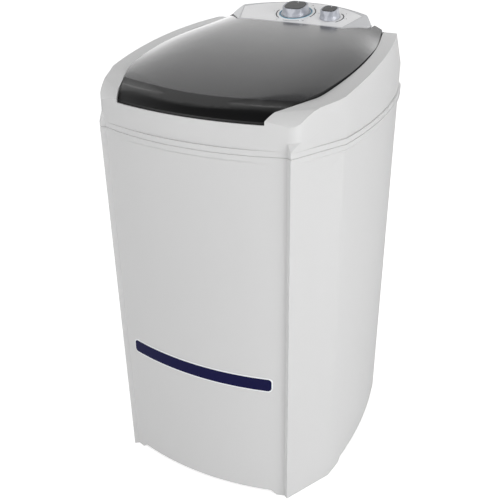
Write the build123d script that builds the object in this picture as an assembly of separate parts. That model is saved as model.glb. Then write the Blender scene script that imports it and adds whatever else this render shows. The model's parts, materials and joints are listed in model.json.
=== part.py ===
from build123d import *
import math
import os

# A single-tub, belt-driven washing machine in millimetres, Z up, its front towards -Y.
# The origin is on the floor, in the middle of the body's width and depth.

# Body outline, seen from above at the seam between cabinet and cover
half_width = 282.0
crease_y = -293.0
back_y = 320.0
crease_x = half_width - 66.0
strip_width = 9.5
strip_step = 7.0
front_bow = 34.0
knee_x = half_width - 9.3
knee_y = crease_y + 131.0
waist_y = -16.0
tail_x = half_width - 51.4
rear_radius = 80.0
front_chord = crease_x - strip_width
front_radius = (front_chord**2 + front_bow**2) / (2 * front_bow)
front_axis_y = crease_y + strip_step - front_bow + front_radius

# Cabinet
seam_z = 860.0
front_lean = 27.0
cabinet_wall = 4.0
rim_proud = 4.0
rim_height = 10.0
rim_blend = 5.0
lip_wall = 3.0
skirt_rise = 14.0
skirt_gap_x = half_width - 92.0
foot_plate = 4.0
foot_inner_x = skirt_gap_x - 4.0
front_foot = (half_width - 57.0, crease_y + 108.0)
rear_foot = (half_width - 68.0, back_y - 64.0)
skirt_gap_front = front_foot[1] + 88.0
skirt_gap_rear = rear_foot[1] - 18.0
foot_front_end = skirt_gap_front + 1.0
foot_rear_end = skirt_gap_rear - 2.0
pad_height = 6.0
pad_radius = 16.0
pad_stem_radius = 4.8
pad_head = 2.5
front_post = (half_width - 82.0, crease_y + 68.0)
rear_post = (half_width - 82.0, back_y - 30.0)
post_radius = 8.0
guard_z = 40.0
guard_thickness = 3.0
slot_length = 150.0
slot_width = 8.0
slot_pitch = 38.0
recess_half_width = 110.0
recess_low = 60.0
recess_high = 180.0
recess_depth = 35.0

# Screws and bolts
screw_radius = 1.9
screw_head = 4.2
screw_grip = 12.0
bolt_radius = 3.0
piece_gap = 0.2

# Wash tub
tub_side_gap = 32.0
tub_front_gap = 10.0
tub_rear_gap = 87.0
tub_half_width = half_width - tub_side_gap
tub_rear_y = back_y - tub_rear_gap
tub_y = (crease_y + tub_front_gap + tub_rear_y) / 2
tub_half_depth = tub_rear_y - tub_y
tub_corner = 150.0
tub_wall = 3.0
tub_floor = 4.0
tub_floor_z = 332.0
tub_taper = 20.0
tub_bevel = 36.0
tub_flange = 3.0
boss_drop = 12.0
boss_radius = 9.0
boss_bore = 11.0
rib_start = 75.0
rib_length = 120.0
rib_width = 5.0
sump_x = tub_half_width - 104.0
sump_y = tub_rear_y - 121.0
sump_radius = 18.0

# Lint filter
filter_half = 55.0
filter_y = tub_rear_y - 28.0
filter_depth = 8.0
filter_reach = 30.0
filter_low = tub_floor_z + 268.0
filter_height = 130.0

# Top cover
cover_wall = 3.0
flange_height = 12.0
seam_groove = 1.6
crease_z = seam_z + 64.0
shoulder_top = crease_z + 76.0
shoulder_knee_x = knee_x - 10.7
shoulder_waist_x = half_width - 11.5
shoulder_tail_x = tail_x - 18.6
cut_low = 700.0
cover_corner_round = 40.0
corner_fade = 26.0
dome_axis_y = 104.0
dome_radius = 452.0
dome_low = crease_z - 41.0
dome_round = 68.0
dome_turn = 62.0
apron_z = seam_z + 60.0
deck_front_y = crease_y + 110.0
deck_front_z = crease_z + 26.0
deck_rear_y = back_y - 66.0
deck_rear_z = crease_z + 69.0
deck_bow = 7.0
deck_fall = 43.0
curtain_bottom = seam_z - 12.0
front_cover_screw = (half_width - 58.0, crease_y + 55.0)
rear_cover_screw = (half_width - 87.0, back_y - 58.0)
front_fin_x = front_cover_screw[0] + 14.0
rear_fin_x = rear_cover_screw[0] + 50.5
cover_boss_radius = 6.0
cover_boss_height = 25.0
cover_recess_half_width = 130.0
cover_recess_low = seam_z + 20.0
cover_recess_high = seam_z + 76.0
cover_recess_depth = 30.0

# Console
console_floor = deck_rear_z - 28.0
console_shoulder = console_floor + 20.0
console_top = console_floor + 80.0
console_side_x = half_width - 104.0
console_side_y = back_y - 98.0
console_front_x = console_side_x - 45.0
console_front_y = console_side_y - 58.0
console_back_y = back_y - 50.0
console_back_bow = 26.0
console_wall = 3.0
console_clearance = 1.0
face_front_y = console_front_y + 3.0
face_front_z = console_floor + 47.0
face_tilt = 12.0
face_corner_x = console_side_x - 22.0
face_corner_y = console_side_y + 17.0
face_rear_y = console_back_y + 22.0
facet_low_z = face_front_z - 2.0
fascia_thickness = 1.2
fascia_margin = 3.0
front_console_screw = (console_front_x - 21.0, console_front_y + 7.0)
rear_console_screw = (console_side_x - 7.0, console_side_y + 28.0)
control_hole_y = back_y - 84.0
control_hole_length = 160.0
control_hole_width = 40.0

# Lid
lid_wall = 3.0
lid_gap = 2.5
lid_rise = 2.5
slant_ratio = 1.25
crown_reach = 1.25
crown_point_power = 0.7
lid_front_inset = cover_wall + lid_gap
lid_corner_x = half_width - 118.0
notch_behind = 26.0
notch_ahead = 60.0
bevel_low = apron_z + 4.5
bevel_high = apron_z + 24.0
bevel_width = 44.0
bevel_bulge = 5.0
lid_knee = (half_width - 60.0, crease_y + 122.0)
lid_waist = (half_width - 26.0, crease_y + 310.0)
lid_ear = (console_side_x + 21.0, deck_rear_y)
lid_ear_inner_x = console_side_x + 3.5
lid_ear_outer_x = console_side_x + 24.0
lid_notch_y = console_front_y - 5.5
lid_notch_x = console_front_x
lid_notch_ear_y = console_side_y - 9.0
lid_front_round = 14.0
lid_knee_blend = 17.2
lid_waist_blend = 164.0
lid_crown_front = 8.0
lid_crown_rear = 26.5
lid_crown_power = 5
crown_stations = 8
crown_points = 6
lid_skirt = 20.5
lid_front_bottom = apron_z - 5.0
floor_gap = 2.0
hinge_y = deck_rear_y - 7.0
hinge_z = deck_rear_z - 9.0
knuckle_radius = 7.5
pin_radius = 3.0
pin_fit = 0.06
pin_boss = 12.0
ear_side_gap = 6.0
hinge_bay_front = 14.0
hinge_bay_depth = 4.0
hinge_bay_gap = 2.0
pin_inner = lid_ear_inner_x + 6.5
bumper_x = 60.0
bumper_inset = lid_front_inset + 2.0
bumper_radius = 3.2
bumper_stem = 1.6

# Mouth of the tub, through the cover
mouth_front = (half_width - 132.0, crease_y + 31.0)
mouth_knee = (half_width - 84.0, crease_y + 153.0)
mouth_waist = (half_width - 77.0, crease_y + 313.0)
mouth_rear = (half_width - 104.0, console_front_y - 22.0)
mouth_round = 46.0

# Controls
timer_x = -9.6
timer_row = 61.0
timer_base = 34.0
timer_shoulder = 31.4
timer_grip = (57.0, 54.0)
timer_grip_round = 20.0
timer_top = 18.0
timer_rim = 3.8
timer_height = 26.0
timer_size = 44.0
selector_x = 82.0
selector_row = 50.0
selector_base = 24.5
selector_shoulder = 22.2
selector_grip = (39.0, 38.0)
selector_grip_round = 13.0
selector_top = 21.0
selector_rim = 2.8
selector_height = 20.0
selector_size = 30.0
knob_gap = 0.8
knob_skirt = 8.0
knob_boss_wall = 4.0
round_flat = 0.05
insert_fit = 0.1
knob_wall = 2.5
insert_depth = 3.0
insert_rise = 0.8
spindle_top_gap = 7.0
spindle_radius = 3.0
spindle_fit = 0.05
spindle_flat = 2.0
dial_outer = 40.5
dial_inner = 35.5
dial_thickness = 0.6

# Drive under the tub
support_thickness = 3.0
support_half_width = 100.0
support_lip = 16.0
plate_front = tub_y - 105.0
plate_rear = tub_y + 275.0
shaft_radius = 8.0
shaft_fit = 0.05
shaft_top = tub_floor_z + 40.0
housing_flange = 72.0
housing_flange_height = 5.0
housing_neck = 26.0
housing_bottom = tub_floor_z - 117.0
housing_top = tub_floor_z + 12.0
bush_length = 25.0
bush_radius = 14.0
upper_bush_low = housing_top - 32.0
bolt_circle = 58.0
pulley_z = tub_floor_z - 180.0
driven_radius = 115.0
driver_radius = 30.0
pulley_width = 20.0
hub_radius = 20.0
hub_half = 14.0
belt_top = 12.0
belt_height = 9.0
belt_taper = 2.6
groove_gap = 0.3
belt_sink = 1.0
nut_across = 19.0
nut_height = 8.0
washer_height = 3.1

# Agitator
agitator_radius = tub_half_width - 85.0
agitator_gap = 2.0
agitator_rim = 9.0
agitator_dome = 46.0
agitator_hub_radius = 44.0
agitator_top = tub_floor_z + 70.0
agitator_wall = 4.0
agitator_web = 5.0
agitator_cap_radius = 26.0
vane_count = 4
vane_thickness = 12.0

# Motor
motor_offset = 185.0
motor_radius = 62.0
motor_top = tub_floor_z - 26.0
motor_cap = 20.0
motor_length = 120.0
motor_wall = 4.0
band_wall = 2.5
stator_inner = 33.0
stator_low = motor_top - 90.0
rotor_gap = 0.6
rotor_length = 60.0
motor_shaft_radius = 6.0
bearing_radius = 15.0
bearing_height = 10.0
bearing_inset = 8.0
mount_circle = 80.0
mount_radius = 11.0
ear_thickness = 6.0
fan_radius = 52.0
fan_low = motor_top - 136.0
fan_height = 12.0
fan_blades = 9
capacitor_place = (-72.0, tub_y + 87.0)
capacitor_radius = 18.0
capacitor_low = motor_top - 61.0
capacitor_length = 66.0

# Water, drain and wiring
outlet_x = 80.0
outlet_z = 110.0
spigot_outer = 12.4
cup_end = back_y - 34.0
hose_radius = 15.0
hose_wall = 2.5
hose_bend = 75.0
hose_turn_y = cup_end - 71.0
hose_end_y = cup_end - 7.0
inlet_x = -90.0
inlet_z = seam_z + 46.0
inlet_radius = 13.0
pipe_radius = 9.0
pipe_bore = 7.0
gland_x = -60.0
gland_radius = 9.0
loom_radius = 4.0
loom_bend = 35.0
loom_top_x = -60.0
loom_top_y = control_hole_y
loom_top_z = face_front_z - 16.0
loom_shelf = console_floor - 15.0
loom_x = -(half_width - 132.0)
loom_y = back_y - 22.0
loom_low = 250.0
connector_x = -46.0
connector_y = tub_y + motor_offset + 54.0
loom_lead = 26.0

# Front trim
trim_z = 327.0
trim_half_length = 178.0
trim_height = 31.0
trim_round = 8.0
trim_sink = 1.5
trim_proud = 2.2
bezel_width = 2.8
bezel_proud = 1.4
bezel_floor = 0.8

low = (Align.CENTER, Align.CENTER, Align.MIN)
# A length past every part, for cutting
far = 900.0
floor_top = tub_floor_z + tub_floor
plate_top = tub_floor_z - boss_drop
plate_low = plate_top - support_thickness
motor_y = tub_y + motor_offset
motor_low = motor_top - motor_length


# Basic shapes
def disc(radius, z0, z1, x=0.0, y=0.0):
    return Pos(x, y, z0) * Cylinder(radius, z1 - z0, align=low)


def ring(outer, inner, z0, z1, x=0.0, y=0.0):
    return disc(outer, z0, z1, x, y) - disc(inner, z0, z1, x, y)


def block(x0, x1, y0, y1, z0, z1):
    return Pos((x0 + x1) / 2, (y0 + y1) / 2, (z0 + z1) / 2) * Box(x1 - x0, y1 - y0, z1 - z0)


def prism(face, z0, z1):
    return Pos(0, 0, z0) * extrude(face, z1 - z0, dir=(0, 0, 1))


def rod_y(radius, x, z, y0, y1):
    turned = Plane(origin=(x, y0, z), x_dir=(1, 0, 0), z_dir=(0, 1, 0))
    return turned * Cylinder(radius, y1 - y0, align=low)


def rod_x(radius, y, z, x0, x1):
    turned = Plane(origin=(x0, y, z), x_dir=(0, 1, 0), z_dir=(1, 0, 0))
    return turned * Cylinder(radius, x1 - x0, align=low)


def above_plane(origin, normal):
    return Plane(origin=origin, z_dir=normal) * Box(2 * far, 2 * far, far, align=low)


def mirrored(shape):
    return shape + mirror(shape, about=Plane.YZ)


def grown(face, amount):
    if abs(amount) < 1e-6:
        return face
    return offset(face, amount, kind=Kind.INTERSECTION)


# Outlines seen from above
def left_of(point):
    return Vector(-point.X, point.Y)


def in_plane(plane, edges):
    return make_face([plane * edge for edge in edges])


def polygon_in(plane, points):
    return in_plane(plane, [Line(points[i - 1], points[i]) for i in range(len(points))])


def bend(before, corner, after, blend):
    """The arc that turns a corner, starting and ending blend away from it."""
    start = corner + (before - corner).normalized() * blend
    end = corner + (after - corner).normalized() * blend
    middle = (start + end) * 0.5
    inward = corner - middle
    half_turn = math.atan2(inward.length, (end - start).length / 2)
    rise = (end - start).length / 2 * math.tan(half_turn / 2)
    return start, middle + inward.normalized() * rise, end


def closed_outline(arc_front, right_points, blends=None):
    """A face symmetric about YZ from a front arc and the points of its right side.

    blends gives the length over which a point's corner is turned, by the point's place in the row.
    """
    edges = [arc_front]
    at = right_points[0]
    for place in range(1, len(right_points)):
        target = right_points[place]
        blend = (blends or {}).get(place)
        if blend is None:
            edges.append(Line(at, target))
            edges.append(Line(left_of(at), left_of(target)))
            at = target
            continue
        start, middle, end = bend(right_points[place - 1], target, right_points[place + 1], blend)
        edges.append(Line(at, start))
        edges.append(Line(left_of(at), left_of(start)))
        edges.append(ThreePointArc(start, middle, end))
        edges.append(ThreePointArc(left_of(start), left_of(middle), left_of(end)))
        at = end
    edges.append(Line(at, left_of(at)))
    return make_face(edges)


def body_outline(shift=0.0, proud=0.0, knee=knee_x, waist=half_width, tail=tail_x):
    """Outline of the body; shift sets the front back, proud swells its arcs."""
    crease = Vector(crease_x, crease_y + shift)
    strip = Vector(crease_x - strip_width, crease.Y + strip_step)
    apex = Vector(0, strip.Y - front_bow - proud)
    elbow = Vector(knee + proud, knee_y + shift / 2)
    side = Vector(waist + proud, waist_y)
    end = Vector(tail + proud, back_y + proud)
    edges = [
        ThreePointArc(left_of(strip), apex, strip),
        Line(strip, crease),
        Line(crease, elbow),
        ThreePointArc(elbow, side, end),
        Line(end, left_of(end)),
        ThreePointArc(left_of(end), left_of(side), left_of(elbow)),
        Line(left_of(elbow), left_of(crease)),
        Line(left_of(crease), left_of(strip)),
    ]
    face = make_face(edges)
    return fillet(face.vertices().group_by(Axis.Y)[-1], rear_radius)


def front_arc_y(x, inset=0.0):
    """Depth of the body's bowed front at a given width, or of a line inside it."""
    return front_axis_y - math.sqrt((front_radius - inset) ** 2 - x**2)


def facet_meets_front(knee, inset=0.0):
    """Where the corner facet's line meets the front arc, both moved in by inset."""
    along = (Vector(knee, knee_y) - Vector(crease_x, crease_y)).normalized()
    inward = Vector(-along.Y, along.X)
    start = Vector(crease_x, crease_y - front_axis_y) + inward * inset
    half = start.dot(along)
    travel = -half - math.sqrt(half**2 - start.length**2 + (front_radius - inset) ** 2)
    return start + along * travel + Vector(0, front_axis_y)


def cover_outline(knee=knee_x, waist=half_width, tail=tail_x):
    """Outline of the cover over its rim, where the front corners are round."""
    corner = facet_meets_front(knee)
    elbow = Vector(knee, knee_y)
    side = Vector(waist, waist_y)
    end = Vector(tail, back_y)
    edges = [
        ThreePointArc(left_of(corner), Vector(0, front_arc_y(0)), corner),
        Line(corner, elbow),
        ThreePointArc(elbow, side, end),
        Line(end, left_of(end)),
        ThreePointArc(left_of(end), left_of(side), left_of(elbow)),
        Line(left_of(elbow), left_of(corner)),
    ]
    face = make_face(edges)
    face = fillet(face.vertices().group_by(Axis.Y)[-1], rear_radius)
    return rounded_corners(face, {(corner.X, corner.Y): cover_corner_round})


def shoulder_outline():
    return cover_outline(shoulder_knee_x, shoulder_waist_x, shoulder_tail_x)


def rounded_corners(face, corners):
    """Rounds the corners of a symmetric face; corners maps a right-hand point to its radius."""
    for (x, y), radius in corners.items():
        for side in (1, -1):
            target = Vector(side * x, y, 0)
            vertex = face.vertices().sort_by_distance(target)[0]
            face = fillet(vertex, radius)
    return face


def lid_corner():
    return Vector(lid_corner_x, front_arc_y(lid_corner_x, lid_front_inset))


def lid_face(grow=0.0, notch=True):
    """The lid seen from above, with a notch round the console unless it is left out."""
    corner = lid_corner()
    front = ThreePointArc(left_of(corner), Vector(0, front_arc_y(0, lid_front_inset)), corner)
    points = [corner, Vector(*lid_knee), Vector(*lid_waist), Vector(*lid_ear)]
    if notch:
        points.append(Vector(lid_ear_inner_x, lid_ear[1]))
        points.append(Vector(lid_ear_inner_x, lid_notch_ear_y))
        points.append(Vector(lid_notch_x, lid_notch_y))
    face = closed_outline(front, points, {1: lid_knee_blend, 2: lid_waist_blend})
    return grown(rounded_corners(face, {(corner.X, corner.Y): lid_front_round}), grow)


def console_face(grow=0.0):
    """The console's footprint."""
    front = Vector(console_front_x, console_front_y)
    side = Vector(console_side_x, console_side_y)
    back = Vector(console_side_x, console_back_y)
    rear = Vector(0, console_back_y + console_back_bow)
    edges = [
        Line(left_of(front), front),
        Line(front, side),
        Line(side, back),
        ThreePointArc(back, rear, left_of(back)),
        Line(left_of(back), left_of(side)),
        Line(left_of(side), left_of(front)),
    ]
    return grown(make_face(edges), grow)


def mouth_face(grow=0.0):
    """The way into the tub through the cover."""
    corner = Vector(*mouth_front)
    points = [corner, Vector(*mouth_knee), Vector(*mouth_waist), Vector(*mouth_rear)]
    face = closed_outline(Line(left_of(corner), corner), points)
    rounds = {
        (corner.X, corner.Y): mouth_round,
        mouth_knee: mouth_round,
        mouth_rear: mouth_round,
    }
    return grown(rounded_corners(face, rounds), grow)


# Surfaces that the cover and the lid share
def deck_z(y):
    """Height of the cover's flat band at a given depth."""
    half = (deck_rear_y - deck_front_y) / 2
    middle = (deck_rear_y + deck_front_y) / 2
    slope = (deck_rear_z - deck_front_z) / (2 * half)
    chord = (deck_rear_z + deck_front_z) / 2 + slope * (y - middle)
    return chord + deck_bow * (1 - ((y - middle) / half) ** 2)


def swept_across(face):
    return extrude(face, 400, dir=(1, 0, 0), both=True)


def below_deck(drop=0.0):
    """Everything under the deck's long curve and its rounded fall to the back."""
    middle_y = (deck_front_y + deck_rear_y) / 2
    front = (deck_front_y, deck_z(deck_front_y) - drop)
    rear = (deck_rear_y, deck_z(deck_rear_y) - drop)
    nose = (-400.0, deck_z(deck_front_y) - 20.0 - drop)
    brow = (deck_rear_y + 0.62 * (back_y - deck_rear_y), rear[1] - 0.3 * deck_fall)
    heel = (back_y + 12.0, rear[1] - deck_fall)
    edges = [
        Line((nose[0], cut_low), nose),
        Line(nose, front),
        ThreePointArc(front, (middle_y, deck_z(middle_y) - drop), rear),
        ThreePointArc(rear, brow, heel),
        Line(heel, (heel[0], cut_low)),
        Line((heel[0], cut_low), (nose[0], cut_low)),
    ]
    return swept_across(in_plane(Plane.YZ, edges))


def turned(axis_y, start, middle, end, foot_radius, rise):
    """A solid of revolution whose shoulder is an arc, with a cone over it."""
    top = end[1] + end[0] * rise
    edges = [
        Line((0, cut_low), (foot_radius, cut_low)),
        Line((foot_radius, cut_low), start),
        ThreePointArc(start, middle, end),
        Line(end, (0, top)),
        Line((0, top), (0, cut_low)),
    ]
    plane = Plane(origin=(0, axis_y, 0), x_dir=(1, 0, 0), z_dir=(0, -1, 0))
    return revolve(in_plane(plane, edges), Axis((0, axis_y, 0), (0, 0, 1)))


def corner_dome(drop=0.0):
    """The rounding of the cover's front corners up to its flat band."""
    low_z = dome_low - drop
    hub = dome_radius - dome_round

    def at(degrees):
        turn = math.radians(degrees)
        return (hub + dome_round * math.cos(turn), low_z + dome_round * math.sin(turn))

    rise = 1 / math.tan(math.radians(dome_turn))
    return turned(dome_axis_y, at(0), at(dome_turn / 2), at(dome_turn), dome_radius, rise)


def lid_bevel(drop=0.0):
    """The lid's down-turned front, which runs beside the body's bowed front."""
    edge = front_radius - lid_front_inset
    run = Vector(-bevel_width, bevel_high - bevel_low)
    out = Vector(run.Y, bevel_width).normalized() * bevel_bulge
    start = Vector(edge, bevel_low - drop)
    middle = start + run * 0.5 + out
    end = start + run
    points = [(point.X, point.Y) for point in (start, middle, end)]
    return turned(front_axis_y, *points, edge + 30, 0.3)


def above_floor(drop=0.0):
    """Everything over the lowest edge of the lid's skirt, lowered by drop."""
    base = lid_skirt - lid_rise
    start_y = deck_front_y - 15.0
    middle_y = (start_y + deck_rear_y) / 2
    start = (start_y, deck_z(start_y) - base - drop)
    end = (deck_rear_y, deck_z(deck_rear_y) - base - drop)
    flat_y = lid_corner().Y + 4.0
    low_front = lid_front_bottom - drop
    edges = [
        Line((-400, low_front), (flat_y, low_front)),
        Line((flat_y, low_front), start),
        ThreePointArc(start, (middle_y, deck_z(middle_y) - base - drop), end),
        Line(end, (400, end[1])),
        Line((400, end[1]), (400, 1200)),
        Line((400, 1200), (-400, 1200)),
        Line((-400, 1200), (-400, low_front)),
    ]
    return swept_across(in_plane(Plane.YZ, edges))


# Cabinet and its feet
def cabinet_form(grow, bottom, top):
    """The body between two heights, its front leaning; made larger or smaller all round."""
    lower = grown(body_outline(front_lean * (1 - bottom / seam_z)), grow)
    upper = grown(body_outline(front_lean * (1 - top / seam_z)), grow)
    return loft([Pos(0, 0, bottom) * lower, Pos(0, 0, top) * upper], ruled=True)


def foot_points():
    return [(side * x, y) for side in (1, -1) for x, y in (front_foot, rear_foot)]


def post_points():
    return [(side * x, y) for side in (1, -1) for x, y in (front_post, rear_post)]


def skirt_gap(plane, start, end):
    """The side view of a raised stretch of the skirt, with sloping ends."""
    rise = skirt_rise
    return polygon_in(plane, [(start, 0), (end, 0), (end - rise, rise), (start + rise, rise)])


def skirt_gaps():
    reach = 700.0
    across = skirt_gap(Plane.XZ, -skirt_gap_x, skirt_gap_x)
    along = skirt_gap(Plane.YZ, skirt_gap_front, skirt_gap_rear)
    gaps = extrude(across, reach, dir=(0, 1, 0), both=True)
    return gaps + extrude(along, reach, dir=(1, 0, 0), both=True)


def foot_corners():
    """The four corner regions where the cabinet has a closed bottom."""
    front = block(foot_inner_x, half_width, -half_width - front_bow, foot_front_end, 0, pad_height)
    rear = block(foot_inner_x, half_width, foot_rear_end, back_y, 0, pad_height)
    return mirrored(front + rear)


def service_recess(grow=0.0):
    """The pocket in the cabinet's back for the drain outlet and the cable gland."""
    half = recess_half_width + grow
    front = back_y - recess_depth - grow
    return block(-half, half, front, back_y + 20, recess_low - grow, recess_high + grow)


def cabinet():
    rim_low = seam_z - rim_height
    rim_start = rim_low - rim_blend
    base_z = pad_height - foot_plate
    outer = cabinet_form(0, base_z, rim_start)
    plain = body_outline(front_lean * (1 - rim_start / seam_z))
    proud = body_outline(0, rim_proud)
    outer += loft([Pos(0, 0, rim_start) * plain, Pos(0, 0, rim_low) * proud], ruled=True)
    outer += prism(proud, rim_low, seam_z)
    outer -= service_recess()
    outer -= trim_pocket()
    inner = cabinet_form(-cabinet_wall, base_z, seam_z - tub_flange)
    inner -= service_recess(cabinet_wall)
    inner -= foot_corners()
    shell = outer - inner
    shell -= prism(grown(proud, -lip_wall), seam_z - tub_flange, seam_z + 1)
    shell -= skirt_gaps()
    for x, y in post_points():
        shell += disc(post_radius, pad_height - 1, guard_z, x, y)
        shell -= disc(screw_radius, guard_z - screw_grip, guard_z + 1, x, y)
    for x, y in foot_points():
        shell -= disc(pad_stem_radius + piece_gap, 0, pad_height + 1, x, y)
    shell -= rod_y(spigot_outer + piece_gap, outlet_x, outlet_z, back_y - 60, back_y)
    shell -= rod_y(gland_radius, gland_x, outlet_z, back_y - 60, back_y)
    return shell


def foot_pad():
    pad = Part()
    for x, y in foot_points():
        foot = disc(pad_radius, 0, pad_height - foot_plate, x, y)
        stem_top = pad_height + pad_head
        foot += disc(pad_stem_radius, 0, stem_top, x, y)
        foot += disc(pad_stem_radius + 2, pad_height, stem_top, x, y)
        pad += foot
    return pad


def base_guard():
    """The plate that closes the bottom, with rows of air slots."""
    plate = cabinet_form(-cabinet_wall - 2, guard_z, guard_z + guard_thickness)
    plate -= service_recess(cabinet_wall + 2)
    slots = []
    for row in range(-4, 5):
        for column in (-1, 1):
            slots.append((column * slot_length * 0.62, row * slot_pitch))
    for x, y in slots:
        slot = Box(slot_length, slot_width, 4 * guard_thickness)
        plate -= Pos(x, y, guard_z) * slot
    for x, y in post_points():
        plate -= disc(screw_radius + 0.4, guard_z - 1, guard_z + guard_thickness + 1, x, y)
    return plate


def screw(x, y, seat_z, length, up=True):
    """A pan-head screw standing on seat_z, its shank running away from its head."""
    way = 1 if up else -1
    head = disc(screw_head, min(0, -way * 2.4), max(0, -way * 2.4))
    shank = disc(screw_radius - 0.05, min(0, way * length), max(0, way * length))
    return Pos(x, y, seat_z) * (head + shank)


# Trim on the front of the cabinet
def front_band(depth_in, depth_out, half_length, z0, z1, rounding):
    """A strip that follows the bow of the front between two depths and two heights."""
    middle = (z0 + z1) / 2
    shift = front_lean * (1 - middle / seam_z)
    arc = body_outline(shift)
    outer = grown(arc, depth_out)
    inner = grown(arc, -depth_in)
    band = prism(outer, z0, z1) - prism(inner, z0 - 1, z1 + 1)
    sketch = Plane.XZ * (Pos(0, middle) * RectangleRounded(2 * half_length, z1 - z0, rounding))
    return band & extrude(sketch, 420, dir=(0, -1, 0))


def trim_pocket():
    low_z = trim_z - trim_height / 2 - bezel_width
    high_z = trim_z + trim_height / 2 + bezel_width
    length = trim_half_length + bezel_width
    return front_band(trim_sink, 6, length, low_z, high_z, trim_round + bezel_width)


def trim_bezel():
    low_z = trim_z - trim_height / 2 - bezel_width + piece_gap
    high_z = trim_z + trim_height / 2 + bezel_width - piece_gap
    length = trim_half_length + bezel_width - piece_gap
    tray = front_band(trim_sink, bezel_proud, length, low_z, high_z, trim_round + bezel_width)
    inside = front_band(
        trim_sink - bezel_floor, 6, trim_half_length, low_z + bezel_width, high_z - bezel_width, trim_round
    )
    return tray - inside


def trim_strip():
    low_z = trim_z - trim_height / 2 + piece_gap * 2
    high_z = trim_z + trim_height / 2 - piece_gap * 2
    length = trim_half_length - piece_gap
    return front_band(trim_sink - bezel_floor, trim_proud, length, low_z, high_z, trim_round)


# Wash tub
def tub_section(inset, z):
    width = 2 * (tub_half_width - inset)
    depth = 2 * (tub_half_depth - inset)
    return Pos(0, tub_y, z) * RectangleRounded(width, depth, tub_corner - inset)


def tub_form():
    bevel_top = tub_floor_z + tub_bevel
    sections = [
        tub_section(tub_taper + tub_bevel, tub_floor_z),
        tub_section(tub_taper, bevel_top),
        tub_section(0, seam_z - tub_flange),
    ]
    return loft(sections, ruled=True)


def tub_inside(gap=0.0):
    """The space in the tub, or a smaller one whose walls stand off by gap."""
    wall = tub_wall + gap
    bevel = tub_bevel - tub_floor + wall * math.sqrt(2)
    bevel_top = floor_top + bevel - wall
    sections = [
        tub_section(tub_taper + bevel, floor_top),
        tub_section(tub_taper + wall, bevel_top),
        tub_section(wall, seam_z + 1),
    ]
    return loft(sections, ruled=True)


def tub():
    low_side = seam_z - tub_flange
    body = tub_form()
    body += prism(grown(body_outline(0, rim_proud), -lip_wall - piece_gap), low_side, seam_z)
    body -= tub_inside()
    for rib in tub_ribs():
        body += rib
    for x, y in tub_bolts():
        body += disc(boss_radius, plate_top, tub_floor_z + 1, x, y)
        body -= disc(bolt_radius, plate_top - 1, plate_top + boss_bore, x, y)
    body -= disc(housing_neck + piece_gap, plate_top - 1, floor_top + 1, 0, tub_y)
    body -= disc(sump_radius + piece_gap, plate_top - 1, floor_top + 1, sump_x, sump_y)
    half = loom_radius + 2
    body -= block(loom_x - half, loom_x + half, loom_y - half, back_y + 9, low_side - 1, seam_z + 1)
    for x, y in cover_screw_points():
        body -= disc(screw_radius + 0.4, low_side - 1, seam_z + 1, x, y)
    return body


def tub_bolts():
    half = support_half_width - 18
    return [(side * half, y) for side in (1, -1) for y in (plate_front + 18, tub_y + 60)]


def tub_ribs():
    """Radial ribs under the tub's floor, left out over the motor."""
    ribs = []
    for angle in range(-195, 45, 30):
        rib = Pos(rib_start + rib_length / 2, 0) * Box(rib_length, rib_width, boss_drop + 1, align=low)
        ribs.append(Pos(0, tub_y, plate_top) * (Rot(0, 0, angle) * rib))
    return ribs


def drain_grille():
    """A slotted dome over the drain hole in the tub's floor."""
    rim = ring(sump_radius + 8, sump_radius - 2, floor_top, floor_top + 2, sump_x, sump_y)
    cap = disc(sump_radius + 2, floor_top, floor_top + 9, sump_x, sump_y)
    cap -= disc(sump_radius, floor_top - 1, floor_top + 7, sump_x, sump_y)
    grille = rim + cap
    for offset in range(-2, 3):
        x = sump_x + offset * 7
        grille -= block(x - 1.6, x + 1.6, sump_y - 11, sump_y + 11, floor_top + 3, floor_top + 12)
    return grille


def filter_guide():
    """A holder on the tub's rear wall with a rail at each side."""
    top = filter_low + filter_height
    bottom = filter_low - 6
    wide = filter_half + 6
    front = filter_y - filter_depth
    holder = block(-wide, wide, front - 2.5, filter_y + filter_reach, bottom, top)
    holder -= block(-filter_half, filter_half, front - 0.3, filter_y + 2.8, filter_low - 0.3, top + 1)
    holder -= block(-filter_half + 8, filter_half - 8, front - 5, front, filter_low - 0.3, top + 1)
    return holder & tub_inside(0.05)


def lint_filter():
    """A frame with slots that slides up out of its guide."""
    body = block(-filter_half + 0.3, filter_half - 0.3, filter_y - filter_depth + 0.2, filter_y + 2.5,
                 filter_low, filter_low + filter_height)
    for row in range(7):
        z = filter_low + 16 + row * 15
        body -= block(-filter_half + 12, filter_half - 12, filter_y - 20, filter_y + 20, z, z + 9)
    grip = block(-18, 18, filter_y - filter_depth - 6, filter_y + 2.5, filter_low + filter_height - 6,
                 filter_low + filter_height)
    return body + grip


# Top cover
def cover_screw_points():
    return [(side * x, y) for side in (1, -1) for x, y in (front_cover_screw, rear_cover_screw)]


def corner_fades():
    """Where the cabinet's sharp front corners run on up the cover and fade out."""
    axis = facet_meets_front(knee_x, cover_corner_round)
    wide = (Vector(crease_x, crease_y) - axis).length + 0.5
    start = seam_z + flange_height
    post = Pos(axis.X, axis.Y, start) * Cone(wide, cover_corner_round - 6, corner_fade, align=low)
    return mirrored(post) & prism(body_outline(), start, start + corner_fade)


def cover_form(inset=0.0, drop=0.0):
    """The cover as a solid; inset and drop make the smaller form that hollows it."""
    flange_top = seam_z + flange_height
    outline = grown(cover_outline(), -inset)
    upper = grown(shoulder_outline(), -inset)
    if inset > 0:
        form = prism(grown(body_outline(), -inset), seam_z - 1, flange_top)
    else:
        form = prism(body_outline(0, rim_proud), seam_z, flange_top) + corner_fades()
    form += prism(outline, flange_top, crease_z)
    form += loft([Pos(0, 0, crease_z) * outline, Pos(0, 0, shoulder_top) * upper], ruled=True)
    form &= corner_dome(drop * slant_ratio)
    form &= below_deck(drop)
    return form


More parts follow.
